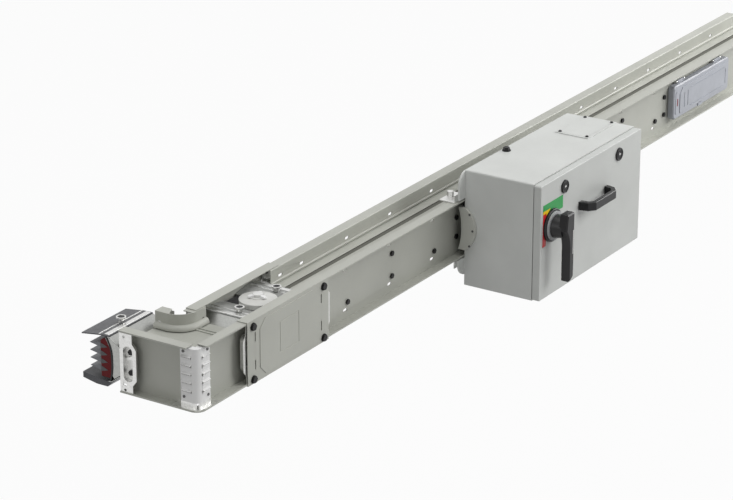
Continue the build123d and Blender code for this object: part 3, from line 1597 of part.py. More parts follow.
# Rotary handle: hub, hanging grip and a square socket that takes the switch shaft
handle_seat = door_front + collar_height + ring_height + turn_clearance
slide_x = handle_axis_x + grip_half_width / 2
slide_z = handle_z - slide_top - slide_length / 2
with BuildPart() as rotary_handle:
    with BuildSketch(Plane.XZ.offset(handle_seat)):
        with Locations((handle_axis_x, handle_z)):
            Circle(hub_radius)
    extrude(amount=door_front + grip_back - handle_seat + 6, taper=8)
    with BuildSketch(Plane.XZ.offset(door_front + grip_back)):
        with BuildLine():
            top = Line((handle_axis_x - grip_half_width - 8, handle_z + grip_top),
                       (handle_axis_x + grip_half_width, handle_z + grip_top))
            right = Line(top @ 1, (handle_axis_x + grip_half_width, handle_z - grip_length + 12))
            foot = RadiusArc(right @ 1, (handle_axis_x - grip_half_width + 4,
                                         handle_z - grip_length), 30)
            tip = Line(foot @ 1, (handle_axis_x - grip_tip_half_width,
                                  handle_z - grip_length * 0.45))
            waist = RadiusArc(tip @ 1, (handle_axis_x - grip_half_width - 14, handle_z), -90)
            Line(waist @ 1, top @ 0)
        make_face()
    extrude(amount=grip_front - grip_back)
    chamfer(edges().group_by(Axis.Y)[0], 3)
    with BuildSketch(Plane.XZ.offset(door_front - socket_length)):
        with Locations((handle_axis_x, handle_z)):
            Circle(socket_radius)
    extrude(amount=socket_length + handle_seat - door_front)
    with BuildSketch(Plane.XZ.offset(door_front - socket_length)):
        with Locations((handle_axis_x, handle_z)):
            Rectangle(shaft_side + 2 * shaft_clearance, shaft_side + 2 * shaft_clearance)
    extrude(amount=shaft_overlap + 2, mode=Mode.SUBTRACT)
    with BuildSketch(Plane.XZ.offset(door_front + grip_front - slide_depth)):
        with Locations((slide_x, slide_z)):
            Rectangle(slide_width + 2 * end_gap, slide_length + 2 * end_gap)
    extrude(amount=slide_depth, mode=Mode.SUBTRACT)
finish(rotary_handle, "rotary_handle")

with BuildPart() as padlock_slide:
    with BuildSketch(Plane.XZ.offset(door_front + grip_front - slide_depth + end_gap)):
        with Locations((slide_x, slide_z)):
            Rectangle(slide_width, slide_length)
    extrude(amount=slide_depth - end_gap + slide_proud)
    with BuildSketch(Plane.YZ.offset(slide_x - slide_width)):
        with Locations((-door_front - grip_front + slide_depth / 2, slide_z - slide_length / 2 + 6)):
            Circle(1.6)
    extrude(amount=2 * slide_width, mode=Mode.SUBTRACT)
finish(padlock_slide, "padlock_slide")

# Back bracket plates that carry the box over and under the trunking
with BuildPart() as back_brackets:
    over = (trunk_height + back_bracket_clear, box_top - 2)
    under = (-back_bracket_drop - back_bracket_clear, -back_bracket_clear)
    for (low, high), corner_up in ((over, True), (under, False)):
        with BuildSketch(Plane.XZ.offset(box_back - back_bracket_sheet)):
            with Locations((box_x, (low + high) / 2)):
                Rectangle(box_width + 2 * back_bracket_overhang, high - low)
            rounded = vertices().group_by(Axis.Y)[-1 if corner_up else 0]
            fillet(rounded, back_bracket_corner)
        extrude(amount=back_bracket_sheet)
finish(back_brackets, "back_brackets")

# Side cheeks: D-shaped mouldings that close the space between the box and the web
cheek_back = -half_width + cheek_back_reach
with BuildPart() as side_cheeks:
    for start in (box_left - cheek_width, box_right):
        with BuildSketch(Plane.YZ.offset(start)):
            with BuildLine():
                up_z = mid_z + cheek_height / 2
                low_z = mid_z - cheek_height / 2
                front_y = -half_width - cheek_depth
                shoulder_y = -half_width - cheek_shoulder
                c1 = Line((cheek_back, up_z), (shoulder_y, up_z))
                c2 = ThreePointArc(c1 @ 1, (front_y, mid_z), (shoulder_y, low_z))
                c3 = Line(c2 @ 1, (cheek_back, low_z))
                ThreePointArc(c3 @ 1, (cheek_back - cheek_back_hollow, mid_z), c1 @ 0)
            make_face()
        extrude(amount=cheek_width)
finish(side_cheeks, "side_cheeks")

cheek_places = [
    (-half_width - 21, mid_z + 43),
    (-half_width - 30, mid_z),
    (-half_width - 21, mid_z - 43),
]
corner_screw_x = -plate_out + corner_plate_leg - 9
corner_screw_levels = (corner_plate_bottom + 12, corner_plate_top - 9)
with BuildPart() as small_screws:
    for plane_x, outward in ((box_left - cheek_width, -1), (box_right + cheek_width, 1)):
        with BuildSketch(Plane.YZ.offset(plane_x)):
            with Locations(*cheek_places):
                Circle(cheek_screw_radius)
        extrude(amount=outward * small_screw_height)
    front_corner = [(leg_x + corner_screw_x, z) for z in corner_screw_levels]
    with BuildSketch(Plane.XZ.offset(plate_out)):
        with Locations(*front_corner):
            Circle(small_screw_radius)
    extrude(amount=small_screw_height)
    with BuildSketch(Plane.YZ.offset(leg_x - plate_out)):
        with Locations(*[(corner_screw_x, z) for z in corner_screw_levels]):
            Circle(small_screw_radius)
    extrude(amount=-small_screw_height)
finish(small_screws, "small_screws")

# Clamps that hook over the front channel's flanges beside the box
clamp_bolt_y = -web_y + 12
clamp_centres = (
    box_left - clamp_overhang + clamp_length / 2,
    box_right + clamp_overhang - clamp_length / 2,
)
with BuildPart() as flange_clamps:
    for centre in clamp_centres:
        with BuildSketch(Plane.YZ.offset(centre - clamp_length / 2)):
            Polygon(
                (-half_width - box_gap + back_bracket_sheet, trunk_height + end_gap),
                (-web_inner + 22, trunk_height + end_gap),
                (-web_inner + 22, trunk_height + end_gap + clamp_sheet),
                (-half_width - box_gap + back_bracket_sheet + clamp_sheet,
                 trunk_height + end_gap + clamp_sheet),
                (-half_width - box_gap + back_bracket_sheet + clamp_sheet,
                 trunk_height + clamp_tab),
                (-half_width - box_gap + back_bracket_sheet, trunk_height + clamp_tab),
                align=None,
            )
            with Locations((-web_inner + end_gap, trunk_height + end_gap)):
                Rectangle(clamp_sheet, clamp_hook, align=(Align.MIN, Align.MAX))
        extrude(amount=clamp_length)
    with BuildSketch(Plane.XY.offset(trunk_height)):
        with Locations(*[(centre, clamp_bolt_y) for centre in clamp_centres]):
            Circle(clamp_bolt_bore + end_gap)
    extrude(amount=clamp_tab, mode=Mode.SUBTRACT)
    mirror(about=Plane.XY.offset(mid_z))
finish(flange_clamps, "flange_clamps")

clamp_top = trunk_height + end_gap + clamp_sheet
with BuildPart() as clamp_bolts:
    places = [(centre, clamp_bolt_y) for centre in clamp_centres]
    hex_heads(Plane.XY.offset(clamp_top), places, clamp_bolt_radius, clamp_bolt_head)
    shanks(Plane.XY.offset(clamp_top), places, clamp_bolt_bore, clamp_sheet + clamp_hook)
    mirror(about=Plane.XY.offset(mid_z))
finish(clamp_bolts, "clamp_bolts")

# Plug-in contact block between the box and the conductors
block_back_y = web_y + outlet_frame_depth + contact_wall_gap
block_front_y = box_back + box_sheet + contact_block_back
with BuildPart() as contact_block:
    with BuildSketch(Plane.XZ.offset(block_back_y)):
        with Locations((plug_x, core_z)):
            Rectangle(contact_block_length, contact_block_height)
    extrude(amount=block_front_y - block_back_y)
    with BuildSketch(Plane.XZ.offset(box_back + box_sheet)):
        with Locations((plug_x, core_z)):
            Rectangle(box_mouth_length + 2 * contact_flange, box_mouth_height + contact_flange)
    extrude(amount=contact_block_back / 2)
    finger_places = [
        (plug_x + (i - (bar_count - 1) / 2) * contact_spread,
         level + up * (bar_thickness + contact_blade) / 2)
        for i, level in enumerate(bar_levels)
        for up in (-1, 1)
    ]
    with BuildSketch(Plane.XZ.offset(block_back_y)):
        with Locations(*finger_places):
            Rectangle(contact_width, contact_blade)
    extrude(amount=block_front_y - block_back_y, mode=Mode.SUBTRACT)
finish(contact_block, "contact_block")

finger_tip_y = bar_width / 2 - contact_grip
with BuildPart() as contact_fingers:
    with BuildSketch(Plane.XZ.offset(finger_tip_y)):
        with Locations(*finger_places):
            Rectangle(contact_width, contact_blade)
    extrude(amount=block_front_y + contact_tail - finger_tip_y)
finish(contact_fingers, "contact_fingers")

# Mounting plate on the box's back wall, with the switch and the fuse base on it
plate_y = box_back + box_sheet + mount_plate_standoff
mount_width = box_width - 2 * mount_plate_margin
mount_height = box_height - 2 * mount_plate_margin
with BuildPart() as mounting_plate:
    with BuildSketch(Plane.XZ.offset(plate_y)):
        with Locations((box_x, mid_z)):
            Rectangle(mount_width, mount_height)
    extrude(amount=mount_plate_sheet)
    with BuildSketch(Plane.XZ.offset(box_back + box_sheet)):
        with Locations((box_x, mid_z)):
            with GridLocations(mount_width - mount_plate_leg, mount_height - mount_plate_leg, 2, 2):
                Circle(mount_plate_leg / 2)
    extrude(amount=mount_plate_standoff)
finish(mounting_plate, "mounting_plate")

switch_base = plate_y + mount_plate_sheet
switch_x = max(handle_axis_x, box_left + mount_plate_margin + switch_width / 2)
with BuildPart() as switch_body:
    with BuildSketch(Plane.XZ.offset(switch_base)):
        with Locations((switch_x, handle_z)):
            Rectangle(switch_width, switch_height)
    extrude(amount=switch_depth)
    with BuildSketch(Plane.XZ.offset(switch_base + switch_depth)):
        with Locations((switch_x, handle_z)):
            with GridLocations(switch_width / 3, switch_height - 20, 3, 2):
                Rectangle(switch_width / 3 - 8, 20)
    extrude(amount=-switch_depth / 2, mode=Mode.SUBTRACT)
    with BuildSketch(Plane.XZ.offset(switch_base + switch_depth)):
        with Locations((handle_axis_x, handle_z)):
            Circle(shaft_side)
    extrude(amount=-switch_depth / 3, mode=Mode.SUBTRACT)
finish(switch_body, "switch_body")

shaft_start = switch_base + switch_depth * 2 / 3 + shaft_clearance
shaft_end = door_front - socket_length + shaft_overlap
with BuildPart() as switch_shaft:
    with BuildSketch(Plane.XZ.offset(shaft_start)):
        with Locations((handle_axis_x, handle_z)):
            Rectangle(shaft_side, shaft_side)
    extrude(amount=shaft_end - shaft_start)
    chamfer(faces().sort_by(Axis.Y)[0].edges(), 1)
finish(switch_shaft, "switch_shaft")

fuse_x = switch_x + switch_width / 2 + fuse_base_gap + fuse_base_width / 2
fuse_step = fuse_base_width / fuse_count
fuse_columns = [fuse_x + (i - (fuse_count - 1) / 2) * fuse_step for i in range(fuse_count)]
jaw_half = fuse_body_height / 2 + fuse_blade_length / 2
with BuildPart() as fuse_base:
    with BuildSketch(Plane.XZ.offset(switch_base)):
        with Locations((fuse_x, handle_z)):
            Rectangle(fuse_base_width, fuse_base_height)
    extrude(amount=fuse_base_depth)
    with BuildSketch(Plane.XZ.offset(switch_base + fuse_base_depth)):
        with Locations(*[(x, handle_z + up * jaw_half) for x in fuse_columns for up in (-1, 1)]):
            Rectangle(18, 16)
            Rectangle(fuse_blade, 16, mode=Mode.SUBTRACT)
    extrude(amount=fuse_body_depth / 2)
finish(fuse_base, "fuse_base")

with BuildPart() as fuse_links:
    for x in fuse_columns:
        with BuildSketch(Plane.XZ.offset(switch_base + fuse_base_depth + 1)):
            with Locations((x, handle_z)):
                Rectangle(fuse_body_width, fuse_body_height)
        extrude(amount=fuse_body_depth)
        with BuildSketch(Plane.XZ.offset(switch_base + fuse_base_depth)):
            with Locations((x, handle_z)):
                Rectangle(fuse_blade, fuse_body_height + 2 * fuse_blade_length - 6)
        extrude(amount=fuse_body_depth / 2 + 4)
finish(fuse_links, "fuse_links")
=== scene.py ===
import json
import math

import bmesh
import bpy
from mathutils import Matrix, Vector


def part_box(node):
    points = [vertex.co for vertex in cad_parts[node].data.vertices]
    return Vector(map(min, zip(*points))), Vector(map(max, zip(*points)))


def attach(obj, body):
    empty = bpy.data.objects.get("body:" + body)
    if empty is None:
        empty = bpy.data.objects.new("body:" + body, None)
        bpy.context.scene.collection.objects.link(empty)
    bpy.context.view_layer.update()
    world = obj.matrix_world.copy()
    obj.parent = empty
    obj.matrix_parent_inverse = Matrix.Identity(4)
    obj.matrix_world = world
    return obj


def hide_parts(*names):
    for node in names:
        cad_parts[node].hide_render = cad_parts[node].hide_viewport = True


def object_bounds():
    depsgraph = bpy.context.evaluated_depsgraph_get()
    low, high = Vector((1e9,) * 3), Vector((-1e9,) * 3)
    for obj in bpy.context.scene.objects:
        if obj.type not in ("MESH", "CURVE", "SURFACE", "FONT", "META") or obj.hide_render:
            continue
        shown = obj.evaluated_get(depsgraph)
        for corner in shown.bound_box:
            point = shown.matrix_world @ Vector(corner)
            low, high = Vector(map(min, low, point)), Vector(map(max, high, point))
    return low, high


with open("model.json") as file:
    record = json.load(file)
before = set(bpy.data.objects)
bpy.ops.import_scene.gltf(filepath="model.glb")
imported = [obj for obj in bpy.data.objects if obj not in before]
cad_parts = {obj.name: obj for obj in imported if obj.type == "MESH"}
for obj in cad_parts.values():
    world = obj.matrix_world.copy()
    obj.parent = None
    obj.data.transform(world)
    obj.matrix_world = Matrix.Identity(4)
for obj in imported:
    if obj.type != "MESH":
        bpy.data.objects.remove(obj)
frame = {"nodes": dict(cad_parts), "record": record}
cad_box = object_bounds()
nodes = frame["nodes"]
scene = bpy.context.scene

MM = 0.001

# Camera of the photograph, found from the run's long edges
CAMERA_PLACE = (-6.86464, -3.68414, 2.78403)
CAMERA_AZIMUTH = math.radians(-57.14)
CAMERA_ELEVATION = math.radians(21.51)
FOCAL_PIXELS = 2946.74
IMAGE_WIDTH = 733
SENSOR_WIDTH = 36.0

# The floor below the hung run, in metres, its own grey, how white it is where it is seen, and
# the level at which the world lights the object
FLOOR_DROP = 1.1
FLOOR_HALF = 30.0
FLOOR_GREY = 0.42
FLOOR_WHITE = 0.95
WORLD_LIGHT = 0.3


def linear(red, green, blue):
    """A display colour from 0 to 255 as the linear colour a shader takes."""
    channels = []
    for value in (red, green, blue):
        share = value / 255
        low = share / 12.92
        high = ((share + 0.055) / 1.055) ** 2.4
        channels.append(low if share <= 0.04045 else high)
    return (*channels, 1.0)


def new_material(name):
    """An empty node material with its principled shader."""
    material = bpy.data.materials.new(name)
    material.use_nodes = True
    tree = material.node_tree
    shader = tree.nodes["Principled BSDF"]
    return material, tree, shader


def object_coordinates(tree):
    """Coordinates fixed to the object, in metres."""
    return tree.nodes.new("ShaderNodeTexCoord").outputs["Object"]


def noise(tree, vector, scale, detail=3.0, roughness=0.55):
    """A noise texture's value output."""
    node = tree.nodes.new("ShaderNodeTexNoise")
    node.inputs["Scale"].default_value = scale
    node.inputs["Detail"].default_value = detail
    node.inputs["Roughness"].default_value = roughness
    tree.links.new(vector, node.inputs["Vector"])
    return node.outputs["Fac"]


def ramp(tree, factor, stops):
    """A colour ramp with these (position, colour) stops."""
    node = tree.nodes.new("ShaderNodeValToRGB")
    elements = node.color_ramp.elements
    while len(elements) < len(stops):
        elements.new(0.5)
    for element, (position, color) in zip(elements, stops):
        element.position = position
        element.color = color
    tree.links.new(factor, node.inputs["Fac"])
    return node.outputs["Color"]


def spread(tree, factor, low, high):
    """Maps a 0 to 1 factor onto a range."""
    node = tree.nodes.new("ShaderNodeMapRange")
    node.inputs["To Min"].default_value = low
    node.inputs["To Max"].default_value = high
    tree.links.new(factor, node.inputs["Value"])
    return node.outputs["Result"]


def bump(tree, shader, height, distance, strength=1.0):
    """Feeds a height into the shader's normal."""
    node = tree.nodes.new("ShaderNodeBump")
    node.inputs["Strength"].default_value = strength
    node.inputs["Distance"].default_value = distance
    tree.links.new(height, node.inputs["Height"])
    tree.links.new(node.outputs["Normal"], shader.inputs["Normal"])


def vary_roughness(tree, shader, factor, low, high):
    """Lets the roughness run between two values."""
    tree.links.new(spread(tree, factor, low, high), shader.inputs["Roughness"])


def shade(color, factor):
    """The same colour, lighter or darker."""
    return tuple(min(1.0, channel * factor) for channel in color[:3]) + (1.0,)


def powder_coat(name, color, roughness, peel=0.00012, peel_scale=700.0, cloud=0.05):
    """Powder coated steel: fine orange peel, slight clouds of tone and uneven gloss."""
    material, tree, shader = new_material(name)
    place = object_coordinates(tree)
    clouds = noise(tree, place, 7.0, 4.0)
    tone = ramp(tree, clouds, [(0.3, shade(color, 1 - cloud)), (0.7, shade(color, 1 + cloud))])
    tree.links.new(tone, shader.inputs["Base Color"])
    gloss = noise(tree, place, 22.0, 3.0)
    vary_roughness(tree, shader, gloss, roughness - 0.06, roughness + 0.08)
    bump(tree, shader, noise(tree, place, peel_scale, 2.0), peel, 0.6)
    return material


def zinc(name, color, roughness, spangle_scale=320.0):
    """Galvanised steel: metal with crystal spangles of different brightness."""
    material, tree, shader = new_material(name)
    shader.inputs["Metallic"].default_value = 1.0
    place = object_coordinates(tree)
    cells = tree.nodes.new("ShaderNodeTexVoronoi")
    cells.inputs["Scale"].default_value = spangle_scale
    tree.links.new(place, cells.inputs["Vector"])
    grey = tree.nodes.new("ShaderNodeRGBToBW")
    tree.links.new(cells.outputs["Color"], grey.inputs["Color"])
    tone = ramp(tree, grey.outputs["Val"], [(0.2, shade(color, 0.93)), (0.8, shade(color, 1.05))])
    tree.links.new(tone, shader.inputs["Base Color"])
    wear = noise(tree, place, 90.0, 5.0)
    vary_roughness(tree, shader, wear, roughness - 0.05, roughness + 0.07)
    bump(tree, shader, noise(tree, place, 420.0, 3.0), 0.00004, 0.3)
    return material


def moulded(name, color, roughness, grain=0.00006, grain_scale=1500.0, cloud=0.06, gloss=0.5):
    """Moulded plastic: fine spark-eroded grain and a little unevenness of tone."""
    material, tree, shader = new_material(name)
    shader.inputs["Specular IOR Level"].default_value = gloss
    place = object_coordinates(tree)
    tone = ramp(tree, noise(tree, place, 25.0, 3.0),
                [(0.3, shade(color, 1 - cloud)), (0.7, shade(color, 1 + cloud))])
    tree.links.new(tone, shader.inputs["Base Color"])
    scuffs = noise(tree, place, 60.0, 5.0, 0.65)
    vary_roughness(tree, shader, scuffs, roughness - 0.08, roughness + 0.1)
    bump(tree, shader, noise(tree, place, grain_scale, 2.0), grain, 0.7)
    return material


def drawn_metal(name, color, roughness, stretch=(3.0, 300.0, 300.0)):
    """Drawn or plated metal with fine lines along X."""
    material, tree, shader = new_material(name)
    shader.inputs["Metallic"].default_value = 1.0
    place = object_coordinates(tree)
    mapping = tree.nodes.new("ShaderNodeMapping")
    mapping.inputs["Scale"].default_value = stretch
    tree.links.new(place, mapping.inputs["Vector"])
    lines = noise(tree, mapping.outputs["Vector"], 4.0, 4.0)
    tone = ramp(tree, lines, [(0.25, shade(color, 0.85)), (0.75, shade(color, 1.1))])
    tree.links.new(tone, shader.inputs["Base Color"])
    vary_roughness(tree, shader, lines, roughness - 0.08, roughness + 0.12)
    bump(tree, shader, lines, 0.00004, 0.5)
    return material


def marking_plate(name):
    """The switch marking: a red strip at the left, green at the top, a yellow corner between."""
    material, tree, shader = new_material(name)
    shader.inputs["Roughness"].default_value = 0.38
    place = object_coordinates(tree)
    axes = tree.nodes.new("ShaderNodeSeparateXYZ")
    tree.links.new(place, axes.inputs["Vector"])
    low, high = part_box("handle_plate")
    strip_right = low[0] + MARK_STRIP * MM
    band_bottom = high[2] - MARK_BAND * MM

    def above(value, limit):
        node = tree.nodes.new("ShaderNodeMath")
        node.operation = "GREATER_THAN"
        node.inputs[1].default_value = limit
        tree.links.new(value, node.inputs[0])
        return node.outputs["Value"]

    def blend(factor, first, second):
        node = tree.nodes.new("ShaderNodeMix")
        node.data_type = "RGBA"
        tree.links.new(factor, node.inputs["Factor"])
        for value, socket in ((first, node.inputs["A"]), (second, node.inputs["B"])):
            if isinstance(value, tuple):
                socket.default_value = value
            else:
                tree.links.new(value, socket)
        return node.outputs["Result"]

    right = above(axes.outputs["X"], strip_right)
    upper = above(axes.outputs["Z"], band_bottom + MARK_GREEN_RISE * MM)
    slant = tree.nodes.new("ShaderNodeMath")
    slant.operation = "SUBTRACT"
    tree.links.new(axes.outputs["Z"], slant.inputs[0])
    tree.links.new(axes.outputs["X"], slant.inputs[1])
    corner = above(slant.outputs["Value"], band_bottom - strip_right - MARK_SLANT * MM)
    lower_right = blend(corner, MARK_GREEN, MARK_YELLOW)
    red_end = above(axes.outputs["Z"], band_bottom + MARK_RED_RISE * MM)
    strip = blend(red_end, MARK_RED, MARK_YELLOW)
    colors = blend(upper, blend(right, strip, lower_right), MARK_GREEN)
    tree.links.new(colors, shader.inputs["Base Color"])
    bump(tree, shader, noise(tree, place, 900.0, 2.0), 0.00005, 0.5)
    return material


def end_plate_coat(name):
    """The joint's pressure plates: dark at the free ends and lighter grey in the covered joint."""
    material, tree, shader = new_material(name)
    place = object_coordinates(tree)
    axes = tree.nodes.new("ShaderNodeSeparateXYZ")
    tree.links.new(place, axes.inputs["Vector"])
    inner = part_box("joint_cover_front")
    covered = tree.nodes.new("ShaderNodeMath")
    covered.operation = "COMPARE"
    covered.inputs[1].default_value = (inner[0][0] + inner[1][0]) / 2
    covered.inputs[2].default_value = (inner[1][0] - inner[0][0]) / 2
    tree.links.new(axes.outputs["X"], covered.inputs[0])
    clouds = noise(tree, place, 40.0, 5.0, 0.6)
    dark = ramp(tree, clouds, [(0.3, linear(50, 51, 55)), (0.7, linear(72, 73, 77))])
    light = ramp(tree, clouds, [(0.3, linear(150, 151, 149)), (0.7, linear(168, 169, 166))])
    mix = tree.nodes.new("ShaderNodeMix")
    mix.data_type = "RGBA"
    tree.links.new(covered.outputs["Value"], mix.inputs["Factor"])
    tree.links.new(dark, mix.inputs["A"])
    tree.links.new(light, mix.inputs["B"])
    tree.links.new(mix.outputs["Result"], shader.inputs["Base Color"])
    vary_roughness(tree, shader, noise(tree, place, 120.0, 4.0), 0.3, 0.5)
    bump(tree, shader, noise(tree, place, 900.0, 2.0), 0.00008, 0.6)
    return material


# Width of the marking's strip, height of its band and, above the band's bottom, where the red
# ends and the green begins, with the yellow slant's shift between them, in millimetres
MARK_STRIP = 16
MARK_BAND = 34
MARK_RED_RISE = 10
MARK_GREEN_RISE = 18
MARK_SLANT = 2

MARK_GREEN = linear(0, 150, 64)
MARK_RED = linear(204, 30, 36)
MARK_YELLOW = linear(240, 200, 0)

materials = {
    "trunk_paint": powder_coat("trunk_paint", linear(177, 178, 170), 0.42),
    "corner_paint": powder_coat("corner_paint", linear(234, 234, 233), 0.34),
    "box_paint": powder_coat("box_paint", linear(205, 207, 204), 0.45),
    "galvanised_steel": zinc("galvanised_steel", linear(216, 216, 214), 0.36),
    "black_steel": moulded("black_steel", linear(14, 14, 15), 0.42, gloss=0.3),
    "dark_plate": end_plate_coat("dark_plate"),
    "conductor": drawn_metal("conductor", linear(176, 176, 180), 0.42),
    "red_insulation": moulded("red_insulation", linear(92, 10, 14), 0.5, gloss=0.2),
    "dark_insulation": moulded("dark_insulation", linear(70, 70, 72), 0.5),
    "dark_contact": drawn_metal("dark_contact", linear(104, 105, 108), 0.45, (300.0, 300.0, 12.0)),
    "grey_moulding": moulded("grey_moulding", linear(172, 174, 176), 0.42),
    "cover_moulding": moulded("cover_moulding", linear(164, 167, 174), 0.4),
    "black_moulding": moulded("black_moulding", linear(19, 19, 21), 0.34, gloss=0.35),
    "ceramic": moulded("ceramic", linear(232, 230, 222), 0.2),
    "handle_marking": marking_plate("handle_marking"),
    "gasket_rubber": moulded("gasket_rubber", linear(34, 34, 34), 0.75, 0.0002, 600.0),
    "shaft_steel": drawn_metal("shaft_steel", linear(190, 190, 190), 0.3),
    # The body's paint made a little darker for the door: painted shade on the door's front
    "door_paint_shaded": powder_coat("door_paint_shaded", linear(197, 199, 196), 0.45),
    "cheek_paint": powder_coat("cheek_paint", linear(190, 191, 184), 0.42),
    "plated_steel": zinc("plated_steel", linear(168, 169, 166), 0.3),
    "disc_coat": powder_coat("disc_coat", linear(208, 208, 204), 0.3),
    # Painted shade: a dark grey for the strips that stand in for shadow in the long groove and
    # under the louvre lips
    "painted_shade_grey": moulded("painted_shade_grey", linear(104, 104, 97), 0.6, gloss=0.2),
    "panel_grey": moulded("panel_grey", linear(150, 154, 162), 0.42),
    "screw_grey": moulded("screw_grey", linear(84, 84, 84), 0.4),
    "mark_red": moulded("mark_red", linear(122, 16, 26), 0.5),
}


# Nodes whose finish in the photograph differs from their slot's
NODE_FINISH = {
    "side_cheeks": "cheek_paint",
    # The door takes a darker copy of the body's paint as painted shade
    "door": "door_paint_shaded",
    "back_brackets": "box_paint",
    "joint_spring_discs": "disc_coat",
    "joint_end_sheets": "plated_steel",
    "small_screws": "screw_grey",
    "padlock_slide": "galvanised_steel",
}

# Width of the soft edge on each node, in millimetres; nodes not named get the last one
SOFT_EDGES = {
    "box_body": 1.2,
    "door": 1.2,
    "rotary_handle": 2.0,
    "grab_handle": 2.2,
    "handle_collar": 0.8,
    "side_cheeks": 0.8,
    "joint_cover_front": 0.25,
    "joint_cover_rear": 0.25,
    "pressure_plates": 0.8,
    "channel_screws": 0.8,
    "joint_cover_screws": 0.8,
    "clamp_bolts": 0.8,
    "outlet_cover": 0.8,
}
SOFT_EDGE = 0.35
SMOOTH_ANGLE = math.radians(35)
BEVEL_ANGLE = math.radians(40)
WELD_DISTANCE = 0.00001
NORMAL_WEIGHT = 80


def smooth_by_angle():
    """A modifier's node tree that shades faces smooth and keeps sharp edges sharp."""
    group = bpy.data.node_groups.new("smooth_by_angle", "GeometryNodeTree")
    group.interface.new_socket("Geometry", in_out="INPUT", socket_type="NodeSocketGeometry")
    group.interface.new_socket("Geometry", in_out="OUTPUT", socket_type="NodeSocketGeometry")
    start = group.nodes.new("NodeGroupInput")
    end = group.nodes.new("NodeGroupOutput")
    angle = group.nodes.new("GeometryNodeInputMeshEdgeAngle")
    flat = group.nodes.new("FunctionNodeCompare")
    flat.data_type = "FLOAT"
    flat.operation = "LESS_EQUAL"
    flat.inputs["B"].default_value = SMOOTH_ANGLE
    edges = group.nodes.new("GeometryNodeSetShadeSmooth")
    edges.domain = "EDGE"
    faces = group.nodes.new("GeometryNodeSetShadeSmooth")
    faces.domain = "FACE"
    group.links.new(angle.outputs["Unsigned Angle"], flat.inputs["A"])
    group.links.new(start.outputs["Geometry"], edges.inputs["Geometry"])
    group.links.new(flat.outputs["Result"], edges.inputs["Shade Smooth"])
    group.links.new(edges.outputs["Geometry"], faces.inputs["Geometry"])
    group.links.new(faces.outputs["Geometry"], end.inputs["Geometry"])
    return group


smoothing = smooth_by_angle()


def soften(piece, width):
    """Joins a piece's split edges, rounds them a little and shades it smooth by angle."""
    weld = piece.modifiers.new("weld", "WELD")
    weld.merge_threshold = WELD_DISTANCE
    bevel = piece.modifiers.new("bevel", "BEVEL")
    bevel.width = width * MM
    bevel.segments = 2
    bevel.limit_method = "ANGLE"
    bevel.angle_limit = BEVEL_ANGLE
    bevel.use_clamp_overlap = True
    smooth = piece.modifiers.new("smooth", "NODES")
    smooth.node_group = smoothing
    level = piece.modifiers.new("level", "WEIGHTED_NORMAL")
    level.keep_sharp = True
    level.weight = NORMAL_WEIGHT


def dress_nodes():
    """Gives every carried-over node its material, smooth shading and soft edges."""
    for entry in frame["record"]["subparts"]:
        name = entry["node"]
        node = nodes[name]
        node.data.materials.clear()
        node.data.materials.append(materials[NODE_FINISH.get(name, entry["material_slot"])])
        soften(node, SOFT_EDGES.get(name, SOFT_EDGE))


dress_nodes()


def add_piece(name, work, body, slot, finish=None, width=0.0):
    """Makes a piece of the bmesh: its object, material, soft edges and body; the slot names the
    material when no finish is given.
    """
    mesh = to_mesh(name, work)
    piece = bpy.data.objects.new(name, mesh)
    scene.collection.objects.link(piece)
    mesh.materials.append(materials[finish or slot])
    if width:
        soften(piece, width)
    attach(piece, body)
    return piece


def to_mesh(name, work):
    """The bmesh as a mesh in metres, with its faces turned outward."""
    bmesh.ops.remove_doubles(work, verts=work.verts, dist=0.01)
    bmesh.ops.recalc_face_normals(work, faces=work.faces)
    bmesh.ops.scale(work, vec=(MM, MM, MM), verts=work.verts)
    mesh = bpy.data.meshes.new(name)
    work.to_mesh(mesh)
    work.free()
    return mesh


def bridge(work, loops, closed):
    """Joins equal loops of points with quads; open runs get a cap at each end."""
    rings = [[work.verts.new(point) for point in loop] for loop in loops]
    pairs = list(zip(rings, rings[1:]))
    if closed:
        pairs.append((rings[-1], rings[0]))
    for first, second in pairs:
        count = len(first)
        for i in range(count):
            j = (i + 1) % count
            work.faces.new((first[i], first[j], second[j], second[i]))
    if not closed:
        work.faces.new(rings[0])
        work.faces.new(rings[-1])


def sweep(work, path, profile):
    """Sweeps a section along a level path; section points are (offset to the left, height)."""
    loops = []
    for i, point in enumerate(path):
        before = Vector(path[max(i - 1, 0)])
        after = Vector(path[min(i + 1, len(path) - 1)])
        here = Vector(point)
        side = Vector((0, 0))
        for part in (here - before, after - here):
            if part.length > 0:
                part.normalize()
                side += Vector((-part.y, part.x))
        side.normalize()
        loops.append([
            (here.x + side.x * out, here.y + side.y * out, up) for out, up in profile
        ])
    bridge(work, loops, False)


def turn(work, centre, axis, profile, steps=36):
    """Turns a section of (radius, place along the axis) about an axis, 1 for Y or 2 for Z."""
    loops = []
    for i in range(steps):
        angle = 2 * math.pi * i / steps
        c, s = math.cos(angle), math.sin(angle)
        loop = []
        for radius, along in profile:
            if axis == 1:
                loop.append((centre[0] + radius * c, along, centre[2] + radius * s))
            else:
                loop.append((centre[0] + radius * c, centre[1] + radius * s, along))
        loops.append(loop)
    bridge(work, loops, True)


def prism(work, outline, depth):
    """Extrudes a flat outline of 3D points along the vector depth."""
    near = [Vector(point) for point in outline]
    far = [point + Vector(depth) for point in near]
    bridge(work, [near, far], False)


